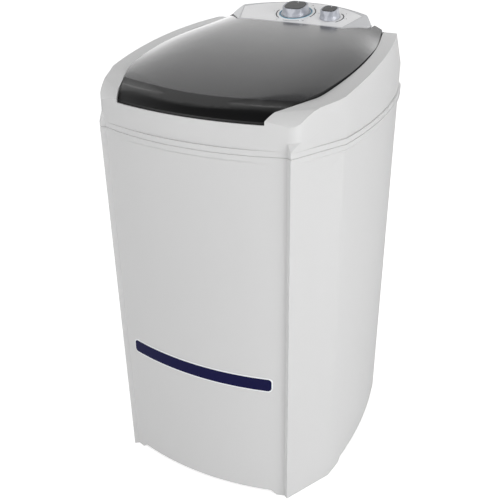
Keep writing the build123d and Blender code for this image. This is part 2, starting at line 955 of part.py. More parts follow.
def front_notch(grow=0.0):
    """The opening in front of the lid, down to the top of the apron."""
    corner = lid_corner()
    back = (Vector(*lid_knee) - corner).normalized()
    rear = corner + back * notch_behind
    front = corner - back * notch_ahead
    face = polygon_in(Plane.XY, [left_of(front), front, rear, left_of(rear)])
    return prism(grown(face, lid_gap + grow), apron_z - grow, 1100)


def lid_pocket(side_wall=0.0, floor=0.0):
    """The recess that the lid closes, or the outside of its walls."""
    pocket = prism(lid_face(lid_gap + side_wall, notch=False), 800, 1100)
    return pocket & above_floor(floor_gap + floor)


def ear_swing():
    """How far the top of the lid's ears reaches from the hinge's axis."""
    side = lid_ear_inner_x - ear_side_gap
    crown = lid_crown(hinge_y) * (1 - (side / lid_edge_x(hinge_y)) ** lid_crown_power)
    return deck_z(hinge_y) + lid_rise + crown - hinge_z


def hinge_bay(wall=0.0):
    """Room behind the lid's ears for them to turn."""
    inner = lid_ear_inner_x - ear_side_gap - wall
    outer = lid_ear_outer_x + lid_gap + wall
    front = hinge_y - hinge_bay_front - wall
    rear = hinge_y + ear_swing() + hinge_bay_gap + wall
    low_z = hinge_z - knuckle_radius - hinge_bay_depth - wall
    return mirrored(block(inner, outer, front, rear, low_z, 1100))


def console_pocket(wall=0.0):
    return prism(console_face(console_clearance + wall), console_floor - wall, 1100)


def cover_recess(grow=0.0):
    """The pocket in the cover's back for the water inlet."""
    half = cover_recess_half_width + grow
    front = back_y - cover_recess_depth - grow
    return block(-half, half, front, back_y + 20, cover_recess_low - grow, cover_recess_high + grow)


def console_screw_points():
    return [(side * x, y) for side in (1, -1) for x, y in (front_console_screw, rear_console_screw)]


def cover():
    form = cover_form()
    walls = lid_pocket(cover_wall + 2, cover_wall) + console_pocket(cover_wall) + hinge_bay(cover_wall)
    hollow = cover_form(cover_wall, cover_wall) - cover_recess(cover_wall)
    shell = form - (hollow - (walls + front_notch(cover_wall)))
    shell -= lid_pocket()
    shell -= front_notch()
    rim = body_outline(0, rim_proud)
    groove_top = seam_z + seam_groove
    shell -= prism(grown(rim, 6), seam_z - 1, groove_top) - prism(grown(rim, -seam_groove), 0, far)
    shell -= console_pocket()
    shell -= hinge_bay()
    shell -= cover_recess()
    shell += prism(mouth_face(cover_wall), curtain_bottom, 1100) - above_floor(floor_gap)
    shell -= prism(mouth_face(), curtain_bottom - 1, 1100)
    boss_top = seam_z + cover_boss_height
    for (x, y), fin_x in ((front_cover_screw, front_fin_x), (rear_cover_screw, rear_fin_x)):
        boss = disc(cover_boss_radius, seam_z, boss_top, x, y)
        boss += block(x, fin_x, y - 2, y + 2, seam_z, boss_top)
        shell += mirrored(boss)
        shell -= mirrored(disc(screw_radius, seam_z - 1, seam_z + screw_grip, x, y))
    start = lid_ear_outer_x + lid_gap
    shell += mirrored(rod_x(knuckle_radius, hinge_y, hinge_z, start, start + pin_boss + 4)) & form
    shell -= mirrored(rod_x(pin_radius, hinge_y, hinge_z, start - 10, start + pin_boss))
    for x, y in console_screw_points():
        shell -= disc(screw_radius + 0.4, console_floor - 5, console_floor + 5, x, y)
    hole = Pos(0, control_hole_y) * RectangleRounded(control_hole_length, control_hole_width, 8)
    shell -= prism(hole, console_floor - 5, console_floor + 5)
    shell -= rod_y(inlet_radius + piece_gap, inlet_x, inlet_z, back_y - 60, back_y)
    shell -= rod_y(pipe_radius + piece_gap, inlet_x, inlet_z, mouth_rear[1] - 10, mouth_rear[1] + 10)
    for x, y in bumper_points():
        shell -= disc(bumper_stem, 800, 1000, x, y)
    return shell


def bumper_points():
    return [(side * bumper_x, front_arc_y(bumper_x, bumper_inset)) for side in (1, -1)]


# Lid
def lid_crown(y):
    start = lid_knee[1] - 50.0
    slope = (lid_crown_rear - lid_crown_front) / (lid_ear[1] - start)
    return max(2.0, lid_crown_front + slope * (y - start))


def lid_edge_x(y):
    """Half the lid's width at a given depth, enough for its crown."""
    if y < lid_knee[1]:
        return lid_knee[0] - 24.0
    middle = (lid_waist[0] + lid_knee[0]) / 2
    fall = (y - lid_waist[1]) / (lid_ear[1] - lid_waist[1])
    return middle - max(0.0, fall) * (middle - lid_ear[0])


def below_dome(drop=0.0):
    """Everything under the lid's crowned top."""
    sections = []
    start_y = front_arc_y(0) - 20.0
    end_y = deck_rear_y + 46.0
    for station in range(crown_stations):
        y = start_y + (end_y - start_y) * station / (crown_stations - 1)
        edge_z = deck_z(y) + lid_rise - drop
        edge_x = lid_edge_x(y)
        reach = edge_x * crown_reach
        row = []
        for place in range(-crown_points, crown_points + 1):
            share = place / crown_points
            x = reach * math.copysign(abs(share) ** crown_point_power, share)
            row.append((x, edge_z + lid_crown(y) * (1 - abs(x / edge_x) ** lid_crown_power)))
        top = Spline(row)
        end_z = row[0][1]
        sides = [
            Line((reach, end_z), (reach, 850)),
            Line((reach, 850), (-reach, 850)),
            Line((-reach, 850), (-reach, end_z)),
        ]
        plane = Plane(origin=(0, y, 0), x_dir=(1, 0, 0), z_dir=(0, -1, 0))
        sections.append(in_plane(plane, [top] + sides))
    return loft(sections)


def lid():
    blank = prism(lid_face(), 880, 1060) & above_floor() & lid_bevel() & below_dome()
    inside = prism(lid_face(-lid_wall), 870, 1060) & lid_bevel(lid_wall * slant_ratio) & below_dome(lid_wall)
    shell = blank - inside
    shell -= block(-far, far, hinge_y, far, seam_z, far + seam_z)
    inner = lid_ear_inner_x + 0.2
    outer = lid_ear_outer_x
    shell -= mirrored(block(outer, outer + 20, hinge_y - 11, far, seam_z, far + seam_z))
    knuckle = rod_x(knuckle_radius, hinge_y, hinge_z, inner, outer)
    knuckle += block(inner, outer, hinge_y - 14, hinge_y, hinge_z - 3, hinge_z + 3)
    knuckle -= rod_x(pin_radius + pin_fit, hinge_y, hinge_z, pin_inner, outer + 1)
    shell -= mirrored(rod_x(knuckle_radius, hinge_y, hinge_z, inner, outer))
    return shell + mirrored(knuckle)


def hinge_pins():
    end = lid_ear_outer_x + lid_gap + pin_boss
    return mirrored(rod_x(pin_radius, hinge_y, hinge_z, pin_inner + 0.5, end))


def lid_bumpers():
    """Rubber buttons on the recess floor that the lid rests on."""
    buttons = Part()
    top = lid_front_bottom - piece_gap
    seat = lid_front_bottom - floor_gap
    under = seat - cover_wall
    for x, y in bumper_points():
        buttons += disc(bumper_radius, seat, top, x, y)
        buttons += disc(bumper_stem - 0.05, under - 2, seat, x, y)
        buttons += disc(bumper_stem + 1, under - 2, under - 0.2, x, y)
    return buttons


# Console
def face_plane():
    tilt = math.radians(face_tilt)
    out = (0, -math.sin(tilt), math.cos(tilt))
    return Plane(origin=(0, face_front_y, face_front_z), x_dir=(1, 0, 0), z_dir=out)


def console_block(inset=0.0):
    """The console's outer shape, or the space that hollows it."""
    base = console_face(-inset)
    front = Vector(console_front_x, console_front_y)
    side = Vector(console_side_x, console_side_y)
    rear = Vector(face_corner_x, face_corner_y)
    crown = Vector(0, face_rear_y)
    edges = [
        Line(left_of(front), front),
        Line(front, side),
        Line(side, rear),
        ThreePointArc(rear, crown, left_of(rear)),
        Line(left_of(rear), left_of(side)),
        Line(left_of(side), left_of(front)),
    ]
    top = grown(make_face(edges), -inset)
    low_z = console_floor
    body = prism(base, low_z - (1 if inset > 0 else 0), console_shoulder)
    body += loft([Pos(0, 0, console_shoulder) * base, Pos(0, 0, console_top) * top], ruled=True)
    tilted = face_plane()
    body -= above_plane(tilted.origin - tilted.z_dir * inset, tilted.z_dir)
    a = Vector(console_front_x - 1, face_front_y, face_front_z)
    rise = (face_corner_y - face_front_y) * math.tan(math.radians(face_tilt))
    b = Vector(face_corner_x, face_corner_y, face_front_z + rise)
    c = Vector(console_side_x, console_side_y, facet_low_z)
    normal = (b - a).cross(c - a).normalized()
    if normal.Z < 0:
        normal = -normal
    body -= above_plane(a - normal * inset, normal)
    other = Vector(-normal.X, normal.Y, normal.Z)
    body -= above_plane(Vector(-a.X, a.Y, a.Z) - other * inset, other)
    return body


def fascia_outline(inset):
    """The white panel's outline, seen square on."""
    scale = 1 / math.cos(math.radians(face_tilt))
    front = Vector(console_front_x - 1, 0)
    rear = Vector(face_corner_x, (face_corner_y - face_front_y) * scale)
    crown = Vector(0, (face_rear_y - face_front_y) * scale)
    edges = [
        Line(left_of(front), front),
        Line(front, rear),
        ThreePointArc(rear, crown, left_of(rear)),
        Line(left_of(rear), left_of(front)),
    ]
    return grown(make_face(edges), -inset)


def control_points():
    return [(timer_x, timer_row), (selector_x, selector_row)]


def console():
    shell = console_block() - console_block(console_wall)
    tilted = face_plane()
    pocket = extrude(fascia_outline(fascia_margin - piece_gap), fascia_thickness * 3, both=True)
    pocket &= Pos(0, 100, 10 - fascia_thickness) * Box(600, 400, 20)
    shell -= tilted * pocket
    for x, v in control_points():
        shell -= tilted * disc(spindle_radius + 4, -20, 5, x, v)
    for x, y in console_screw_points():
        shell += disc(screw_radius + 3, console_floor, console_floor + 24, x, y)
        shell -= disc(screw_radius, console_floor - 1, console_floor + screw_grip, x, y)
    return shell


def fascia():
    panel = extrude(fascia_outline(fascia_margin), -fascia_thickness)
    for x, v in control_points():
        panel -= disc(spindle_radius + 3, -5, 5, x, v)
    return face_plane() * panel


def dial_ring():
    return face_plane() * ring(dial_outer, dial_inner, 0, dial_thickness, timer_x, timer_row)


def spindle_bore(length):
    """A D-shaped hole for a spindle."""
    bore = disc(spindle_radius + spindle_fit, -5, length)
    return bore - block(spindle_flat, 10, -10, 10, -5, length)


def spindle(length, low_end):
    rod = disc(spindle_radius, low_end, length)
    return rod - block(spindle_flat - spindle_fit, 10, -10, 10, knob_gap, length + 1)


def grip_outline(grip, corner, inset=0.0):
    return RectangleRounded(grip[0] - 2 * inset, grip[1] - 2 * inset, corner - inset)


def knob(place, base, shoulder, grip, corner, top, rim):
    """A flared knob with a square grip on it, a pocket in the grip and a hollow below."""
    foot = grip_outline((2 * base, 2 * base), base - round_flat)
    waist = grip_outline((2 * shoulder, 2 * shoulder), shoulder - round_flat)
    levels = [(foot, knob_gap), (waist, knob_gap + knob_skirt), (grip_outline(grip, corner), top)]
    body = loft([Pos(0, 0, z) * face for face, z in levels], ruled=True)
    body -= prism(grip_outline(grip, corner, rim), top - insert_depth, top + 5)
    hollow_top = shoulder - knob_wall
    hollow = Pos(0, 0, knob_gap - 1) * Cone(base - knob_wall, hollow_top, knob_skirt, align=low)
    body -= hollow - disc(spindle_radius + knob_boss_wall, -2, 40)
    body -= spindle_bore(top - spindle_top_gap + 1)
    return face_plane() * (Pos(*place) * body)


def knob_insert(place, grip, corner, top, rim):
    """The dark pad on top of a knob's grip."""
    fit = rim + insert_fit
    low_z = top - insert_depth
    pad = prism(grip_outline(grip, corner, fit), low_z, top)
    pad += Pos(0, 0, top) * extrude(grip_outline(grip, corner, fit), insert_rise, taper=45)
    return face_plane() * (Pos(*place) * pad)


def switch_body(place, size, height):
    """A control's case under the fascia, with its neck and terminals."""
    top = -console_wall - piece_gap
    case = Pos(0, 0, top - height / 2) * Box(size, size, height)
    case += disc(spindle_radius + 3.6, top - 1, -fascia_thickness - 0.1)
    for offset in (-1, 0, 1):
        case += Pos(offset * size / 4, 0, top - height - 3) * Box(1, 5, 7)
    case -= disc(spindle_radius + spindle_fit, top - height + 3, 5)
    return face_plane() * (Pos(*place) * case)


def control_spindle(place, top, height):
    rod = spindle(top - spindle_top_gap, -console_wall - height + 4)
    return face_plane() * (Pos(*place) * rod)


# Drive under the tub
def support_plate():
    plate = block(-support_half_width, support_half_width, plate_front, plate_rear, plate_low, plate_top)
    for x in (-support_half_width, support_half_width - support_thickness):
        plate += block(x, x + support_thickness, plate_front, plate_rear, plate_low - support_lip, plate_low)
    under = plate_low - 1
    over = plate_top + 1
    plate -= disc(housing_neck + piece_gap, under, over, 0, tub_y)
    for x, y in housing_bolt_points() + tub_bolts() + motor_bolt_points():
        plate -= disc(bolt_radius + piece_gap, under, over, x, y)
    return plate


def housing_bolt_points():
    return [
        (bolt_circle * math.cos(math.radians(a)), tub_y + bolt_circle * math.sin(math.radians(a)))
        for a in (45, 135, 225, 315)
    ]


def motor_bolt_points():
    reach = mount_circle * math.sqrt(0.5)
    return [(i * reach, motor_y + j * reach) for i in (1, -1) for j in (1, -1)]


def hexagon(across, height):
    return extrude(RegularPolygon(across / math.sqrt(3), 6), height)


def bolt(x, y, seat_z, length, up=True):
    way = 1 if up else -1
    head = Pos(0, 0, -4.0 if up else 0) * hexagon(10.0, 4.0)
    shank = disc(bolt_radius - 0.05, min(0, way * length), max(0, way * length))
    return Pos(x, y, seat_z) * (head + shank)


def nut(x, y, z0, height=4.5):
    return Pos(x, y, z0) * (hexagon(10.0, height) - disc(bolt_radius - 0.05, -1, height + 1))


def bearing_housing():
    flange_low = plate_low - housing_flange_height
    body = disc(housing_flange, flange_low, plate_low)
    body += disc(housing_neck - 2, housing_bottom, plate_low)
    body += disc(housing_neck, plate_low - 1, housing_top)
    profile = polygon_in(Plane.XZ, [(20, flange_low), (62, flange_low), (20, flange_low - 60)])
    web = extrude(profile, 2, dir=(0, 1, 0), both=True)
    for index in range(6):
        body += Rot(0, 0, 60 * index) * web
    body -= disc(bush_radius, housing_bottom - 1, housing_bottom + bush_length)
    body -= disc(bush_radius, upper_bush_low, housing_top + 1)
    body -= disc(shaft_radius + 2.5, housing_bottom, housing_top)
    body = Pos(0, tub_y) * body
    for x, y in housing_bolt_points():
        body -= disc(bolt_radius + piece_gap, 250, 330, x, y)
    return body


def shaft_bushes():
    bore = shaft_radius + shaft_fit
    bushes = Part()
    for z0 in (housing_bottom, upper_bush_low):
        bushes += ring(bush_radius, bore, z0, z0 + bush_length, 0, tub_y)
    return bushes


def shaft_seal():
    return ring(bush_radius, shaft_radius + shaft_fit, upper_bush_low + bush_length, housing_top, 0, tub_y)


def drive_shaft():
    rod = disc(shaft_radius, pulley_z - hub_half - nut_height - 2, shaft_top, 0, tub_y)
    rod -= disc(bolt_radius, shaft_top - 16, shaft_top + 1, 0, tub_y)
    return rod


def thrust_washer():
    top = housing_bottom - 0.3
    return ring(shaft_radius + 8, shaft_radius + shaft_fit, top - washer_height, top, 0, tub_y)


def shaft_nut():
    top = pulley_z - hub_half
    body = hexagon(nut_across, nut_height) - disc(shaft_radius, -1, nut_height + 1)
    return Pos(0, tub_y, top - nut_height) * body


def groove(radius):
    """The ring of a pulley that is cut away for the belt."""
    half = belt_top / 2 + groove_gap
    low_half = belt_top / 2 - belt_taper + groove_gap
    root = radius - belt_sink - belt_height - groove_gap
    points = [(root, -low_half), (radius + 1, -half - 0.2), (radius + 1, half + 0.2), (root, low_half)]
    return revolve(polygon_in(Plane.XZ, points), Axis.Z, 360)


def driven_pulley():
    half = pulley_width / 2
    rim = ring(driven_radius, driven_radius - belt_height - 8, -half, half) - groove(driven_radius)
    hub_top = housing_bottom - 0.3 - washer_height - pulley_z
    body = rim + disc(hub_radius, -hub_half, hub_half) + disc(shaft_radius + 4, -hub_half, hub_top)
    for index in range(5):
        spoke = Pos((driven_radius - 5) / 2, 0, 0) * Box(driven_radius - 20, 16, 8)
        body += Rot(0, 0, 72 * index + 18) * spoke
    body -= disc(shaft_radius, -50, hub_top + 1)
    return Pos(0, tub_y, pulley_z) * body


def motor_pulley():
    half = pulley_width / 2
    body = disc(driver_radius, -half, half) - groove(driver_radius)
    body += disc(12, -half - 4, half + 4)
    body -= disc(motor_shaft_radius, -50, 50)
    return Pos(0, motor_y, pulley_z) * body


def belt_section(radius):
    outer = radius - belt_sink
    inner = outer - belt_height
    half = belt_top / 2
    low_half = half - belt_taper
    return polygon_in(Plane.XZ, [(inner, -low_half), (outer, -half), (outer, half), (inner, low_half)])


def drive_belt():
    """The belt: an arc round each pulley and the straight runs between them."""
    span = motor_y - tub_y
    difference = driven_radius - driver_radius
    lean = math.degrees(math.asin(difference / span))
    run = math.sqrt(span**2 - difference**2)
    big = revolve(belt_section(driven_radius), Axis.Z, 180 + 2 * lean)
    small = revolve(belt_section(driver_radius), Axis.Z, 180 - 2 * lean)
    belt = Pos(0, tub_y, pulley_z) * (Rot(0, 0, 180 - lean) * big)
    belt += Pos(0, motor_y, pulley_z) * (Rot(0, 0, lean) * small)
    straight = extrude(belt_section(driven_radius), run, dir=(0, 1, 0))
    return belt + mirrored(Pos(0, tub_y, pulley_z) * (Rot(0, 0, lean) * straight))


def agitator_form(shift):
    """The turned shape of the agitator, or the space that hollows it."""
    base = floor_top + agitator_gap - (1 if shift else 0)
    rim = agitator_radius - shift
    top = floor_top + agitator_gap + agitator_rim - shift
    crest_x = agitator_cap_radius + 4 - shift
    crest = agitator_top - shift
    flare = [
        (rim, top),
        (agitator_radius * 0.62, top + agitator_dome * 0.16),
        (agitator_hub_radius + 8 - shift, top + agitator_dome * 0.42),
        (crest_x, crest),
    ]
    edges = [
        Line((0, base), (rim, base)),
        Line((rim, base), (rim, top)),
        Spline(flare),
        Line((crest_x, crest), (0, crest)),
        Line((0, crest), (0, base)),
    ]
    return revolve(in_plane(Plane.XZ, edges), Axis.Z, 360)


def agitator_vane():
    base = floor_top + agitator_gap
    points = [
        (0, base + 4),
        (0, agitator_top - 4),
        (agitator_cap_radius, agitator_top - 4),
        (agitator_radius - 22, base + agitator_rim + 6),
        (agitator_radius - 10, base + 4),
    ]
    return extrude(polygon_in(Plane.XZ, points), vane_thickness / 2, dir=(0, 1, 0), both=True)


def agitator():
    solid = agitator_form(0)
    for index in range(vane_count):
        solid += Rot(0, 0, 360 / vane_count * index + 22) * agitator_vane()
    seat = shaft_top + agitator_web
    body = solid - agitator_form(agitator_wall)
    body += disc(shaft_radius + 9, shaft_top - 26, seat)
    body += disc(agitator_hub_radius + 6, shaft_top, seat) & agitator_form(0)
    body -= disc(shaft_radius, 300, shaft_top)
    body -= disc(bolt_radius + piece_gap, 300, agitator_top + 1)
    body -= disc(agitator_cap_radius, seat, agitator_top + 1)
    reach = agitator_radius - 36
    for index in range(12):
        angle = math.radians(30 * index + 7)
        body -= disc(3.5, 300, 420, reach * math.cos(angle), reach * math.sin(angle))
    return Pos(0, tub_y) * body


def agitator_screw():
    seat = shaft_top + agitator_web
    head = disc(7, seat, seat + 5, 0, tub_y)
    head -= Pos(0, tub_y, seat + 3) * Box(12, 1.6, 6)
    return head + disc(bolt_radius - 0.05, seat - agitator_web - 12, seat, 0, tub_y)


def agitator_cap():
    base = agitator_top - 8
    cap = disc(agitator_cap_radius - 0.15, base, agitator_top, 0, tub_y)
    crown_radius = agitator_cap_radius - 0.15
    crown = Pos(0, tub_y, agitator_top) * Cone(crown_radius, crown_radius - 6.85, 4, align=low)
    return cap + crown - disc(agitator_cap_radius - 3, base - 1, agitator_top + 1, 0, tub_y)


# Motor
def motor_part(shape):
    return Pos(0, motor_y) * shape


def motor_housing():
    """The steel band round the motor, with the box where its wires go in."""
    band = ring(motor_radius, motor_radius - band_wall, motor_low + motor_cap, motor_top - motor_cap)
    box = block(connector_x - 10, connector_x + 10, 0, connector_y - motor_y, loom_low - 9, loom_low + 9)
    return motor_part(band + box - disc(motor_radius - band_wall, 100, 400))


def motor_cap_body(face_z, edge_z, seat_z, way):
    """A cast end cap: a plate at face_z, a skirt to edge_z and a seat for its bearing."""
    low_z = min(face_z, edge_z)
    high_z = max(face_z, edge_z)
    plate_z = face_z + way * motor_wall
    body = disc(motor_radius, low_z, high_z)
    body -= disc(motor_radius - motor_wall, min(plate_z, edge_z + way), max(plate_z, edge_z + way))
    body += disc(bearing_radius + 4, low_z, high_z)
    body -= disc(bearing_radius, min(seat_z, edge_z + way), max(seat_z, edge_z + way))
    body -= disc(motor_shaft_radius + 2, low_z - 1, high_z + 1)
    for index in range(8):
        body -= Rot(0, 0, 45 * index + 22.5) * block(28, 48, -5, 5, low_z - 1, high_z + 1)
    return body


def lower_cap():
    low_z = motor_low
    return motor_cap_body(low_z, low_z + motor_cap, low_z + bearing_inset, 1)


def upper_cap():
    """The top cap, with an ear at each rubber mount."""
    body = motor_cap_body(motor_top, motor_top - motor_cap, motor_top - bearing_inset, -1)
    ear_low = motor_top - ear_thickness
    arms = Part()
    for index in range(4):
        arm = Pos(66, 0, ear_low) * Box(28, 14, ear_thickness, align=low)
        arm += disc(mount_radius, ear_low, motor_top, mount_circle, 0)
        arm -= disc(bolt_radius + piece_gap, ear_low - 1, motor_top + 1, mount_circle, 0)
        arms += Rot(0, 0, 90 * index + 45) * arm
    return body + (arms - disc(motor_radius - motor_wall, ear_low - 1, motor_top + 1))


def motor_end_caps():
    return motor_part(lower_cap() + upper_cap())


def slot_wedge(index, outer, inner, z0, z1, width):
    wedge = block(inner, outer, -width / 2, width / 2, z0, z1)
    return Rot(0, 0, 30 * index) * wedge


def stator_core():
    core = ring(motor_radius - band_wall, stator_inner, stator_low, stator_low + rotor_length)
    for index in range(12):
        core -= slot_wedge(index, 50, stator_inner - 5, stator_low - 1, stator_low + rotor_length + 1, 7.4)
    return motor_part(core)


def windings():
    coil = ring(51, 36, stator_low - 8, stator_low - 0.2)
    coil += ring(51, 36, stator_low + rotor_length + 0.2, stator_low + rotor_length + 8)
    for index in range(12):
        coil += slot_wedge(index, 49.8, 37, stator_low - 2, stator_low + rotor_length + 2, 7.0)
    return motor_part(coil)


def rotor():
    body = disc(stator_inner - rotor_gap, stator_low, stator_low + rotor_length)
    body += ring(stator_inner - 5, 16, stator_low - 5, stator_low + rotor_length + 5)
    return motor_part(body - disc(motor_shaft_radius, 100, 400))


def motor_shaft():
    return motor_part(disc(motor_shaft_radius, pulley_z - 17, motor_top - 6))


def motor_bearings():
    bearing = Part()
    for z0 in (motor_low + bearing_inset, motor_top - bearing_inset - bearing_height):
        bearing += ring(bearing_radius, motor_shaft_radius + 0.05, z0, z0 + bearing_height)
    return motor_part(bearing)


def motor_fan():
    fan_top = fan_low + fan_height
    body = disc(14, fan_low, fan_top) + ring(fan_radius, 12, fan_top - 2, fan_top)
    for index in range(fan_blades):
        blade = block(12, fan_radius - 1, -1.2, 1.2, fan_low, fan_low + fan_height - 1)
        body += Rot(0, 0, 360 / fan_blades * index) * blade
    return motor_part(body - disc(motor_shaft_radius, 100, 400))


def rubber_mounts():
    mounts = Part()
    for x, y in motor_bolt_points():
        mounts += ring(mount_radius, bolt_radius + piece_gap, motor_top, plate_low, x, y)
    return mounts


def frame_bolts():
    """The bolts of the motor, the bearing housing and the support plate."""
    bolts = Part()
    for x, y in motor_bolt_points():
        bolts += bolt(x, y, plate_top, plate_top - motor_top + ear_thickness + 8, up=False)
    for x, y in housing_bolt_points():
        bolts += bolt(x, y, plate_low - housing_flange_height, housing_flange_height + support_thickness + 6)
    for x, y in tub_bolts():
        bolts += bolt(x, y, plate_low, support_thickness + boss_bore - 1)
    return bolts


def frame_nuts():
    nuts = Part()
    for x, y in motor_bolt_points():
        nuts += nut(x, y, motor_top - ear_thickness - 4.5)
    for x, y in housing_bolt_points():
        nuts += nut(x, y, plate_top)
    return nuts


def case_screws():
    """The screws of the base guard, the cover and the console."""
    screws = Part()
    for x, y in post_points():
        screws += screw(x, y, guard_z + guard_thickness, guard_thickness + screw_grip - 2, up=False)
    for x, y in cover_screw_points():
        screws += screw(x, y, seam_z - tub_flange, tub_flange + screw_grip - 2)
    for x, y in console_screw_points():
        screws += screw(x, y, console_floor - cover_wall, cover_wall + screw_grip - 2)
    return screws


def capacitor():
    x, y = capacitor_place
    body = disc(capacitor_radius, capacitor_low, capacitor_low + capacitor_length, x, y)
    for side in (1, -1):
        tab_x = x + side * 6
        body += block(tab_x - 3, tab_x + 3, y - 0.5, y + 0.5, capacitor_low - 9, capacitor_low + 1)
    return body


def capacitor_clip():
    x, y = capacitor_place
    top = capacitor_low + capacitor_length
    cup = disc(capacitor_radius + 2, top - 24, plate_low, x, y)
    return cup - disc(capacitor_radius, top - 30, top, x, y)


# Water and drain
def drain_cup():
    """The flanged outlet under the tub's floor."""
    body = disc(sump_radius + 9, tub_floor_z - 4, tub_floor_z, sump_x, sump_y)
    body += disc(sump_radius, tub_floor_z - 4, floor_top, sump_x, sump_y)
    body += disc(sump_radius, tub_floor_z - 24, tub_floor_z - 4, sump_x, sump_y)
    body += disc(hose_radius - hose_wall - 0.1, cup_end, tub_floor_z - 24, sump_x, sump_y)
    return body - disc(hose_radius - hose_wall - 2.6, cup_end - 1, floor_top + 1, sump_x, sump_y)


def tube_along(points, bends, outer, inner=0.0):
    """A tube along straight runs joined by arcs."""
    path = Polyline(*points)
    wire = FilletPolyline(*points, radius=bends)
    start = Vector(*points[0])
    way = (Vector(*points[1]) - start).normalized()
    plane = Plane(origin=start, z_dir=way)
    section = Circle(outer)
    tube = sweep(plane * section, path=wire)
    if inner > 0:
        tube -= sweep(plane * Circle(inner), path=wire)
    length = wire.length
    area = math.pi * (outer**2 - inner**2)
    print("tube bend radius", bends, "volume ratio", round(tube.volume / (area * length), 4))
    return tube


def drain_hose():
    start_z = tub_floor_z - 26
    points = [
        (sump_x, sump_y, start_z),
        (sump_x, sump_y, outlet_z),
        (outlet_x, hose_turn_y, outlet_z),
        (outlet_x, hose_end_y, outlet_z),
    ]
    return tube_along(points, hose_bend, hose_radius, hose_radius - hose_wall)


def hose_clamps():
    outer = hose_radius + 1.4
    inner = hose_radius + 0.1
    clamps = ring(outer, inner, tub_floor_z - 46, tub_floor_z - 38, sump_x, sump_y)
    ear = sump_x + inner
    clamps += block(ear + 0.4, ear + 9, sump_y - 4, sump_y + 4, tub_floor_z - 46, tub_floor_z - 38)
    loop = rod_y(outer, outlet_x, outlet_z, hose_end_y - 14, hose_end_y - 6)
    loop -= rod_y(inner, outlet_x, outlet_z, hose_end_y - 20, hose_end_y)
    loop += block(outlet_x - 4, outlet_x + 4, hose_end_y - 14, hose_end_y - 6, outlet_z + inner + 0.4,
                  outlet_z + inner + 9)
    return clamps + loop


def drain_outlet():
    wall_y = back_y - recess_depth
    body = rod_y(spigot_outer, outlet_x, outlet_z, wall_y - 26, wall_y + 24)
    body += rod_y(spigot_outer + 6, outlet_x, outlet_z, wall_y, wall_y + 3)
    return body - rod_y(spigot_outer - 2.6, outlet_x, outlet_z, wall_y - 30, wall_y + 30)


def cable_gland():
    wall_y = back_y - recess_depth
    body = rod_y(gland_radius - 0.1, gland_x, outlet_z, wall_y - 14, wall_y + 12)
    body += rod_y(gland_radius + 4, gland_x, outlet_z, wall_y, wall_y + 5)
    inner_nut = Plane(origin=(gland_x, wall_y - cabinet_wall, outlet_z), x_dir=(1, 0, 0), z_dir=(0, -1, 0))
    body += inner_nut * hexagon(24, 6)
    return body - rod_y(4.2, gland_x, outlet_z, wall_y - 30, wall_y + 30)


def water_inlet():
    wall_y = back_y - cover_recess_depth
    body = rod_y(inlet_radius, inlet_x, inlet_z, wall_y - cover_wall - 8, wall_y + 24)
    body += rod_y(inlet_radius + 5, inlet_x, inlet_z, wall_y, wall_y + 3)
    body += rod_y(pipe_bore - 0.1, inlet_x, inlet_z, wall_y - 30, wall_y)
    return body - rod_y(pipe_bore - 2, inlet_x, inlet_z, wall_y - 40, wall_y + 40)


def inlet_pipe():
    """The pipe from the inlet to its nozzle in the wall of the mouth."""
    wall_y = mouth_rear[1]
    end = back_y - cover_recess_depth - cover_wall - 8.5
    body = rod_y(pipe_radius, inlet_x, inlet_z, wall_y - 14, end)
    body += rod_y(pipe_radius + 4, inlet_x, inlet_z, wall_y - 2.7, wall_y - 0.2)
    body += rod_y(pipe_radius + 4, inlet_x, inlet_z, wall_y + cover_wall + 0.2, wall_y + cover_wall + 4)
    return body - rod_y(pipe_bore, inlet_x, inlet_z, wall_y - 20, end + 5)


# Wiring
def loom_points():
    return [
        (loom_top_x, loom_top_y, loom_top_z),
        (loom_top_x, loom_top_y, loom_shelf),
        (loom_x, loom_y, loom_shelf),
        (loom_x, loom_y, loom_low),
        (connector_x, connector_y + loom_lead, loom_low),
        (connector_x, connector_y, loom_low),
    ]


def wiring_loom():
    return tube_along(loom_points(), loom_bend, loom_radius)


def loom_clips():
    clips = Part()
    for z in (420.0, 600.0, 780.0):
        clip = ring(loom_radius + 2.2, loom_radius + 0.1, z, z + 10, loom_x, loom_y)
        clip += block(loom_x - 3, loom_x + 3, loom_y + loom_radius + 1, back_y - cabinet_wall, z, z + 10)
        clips += clip
    return clips


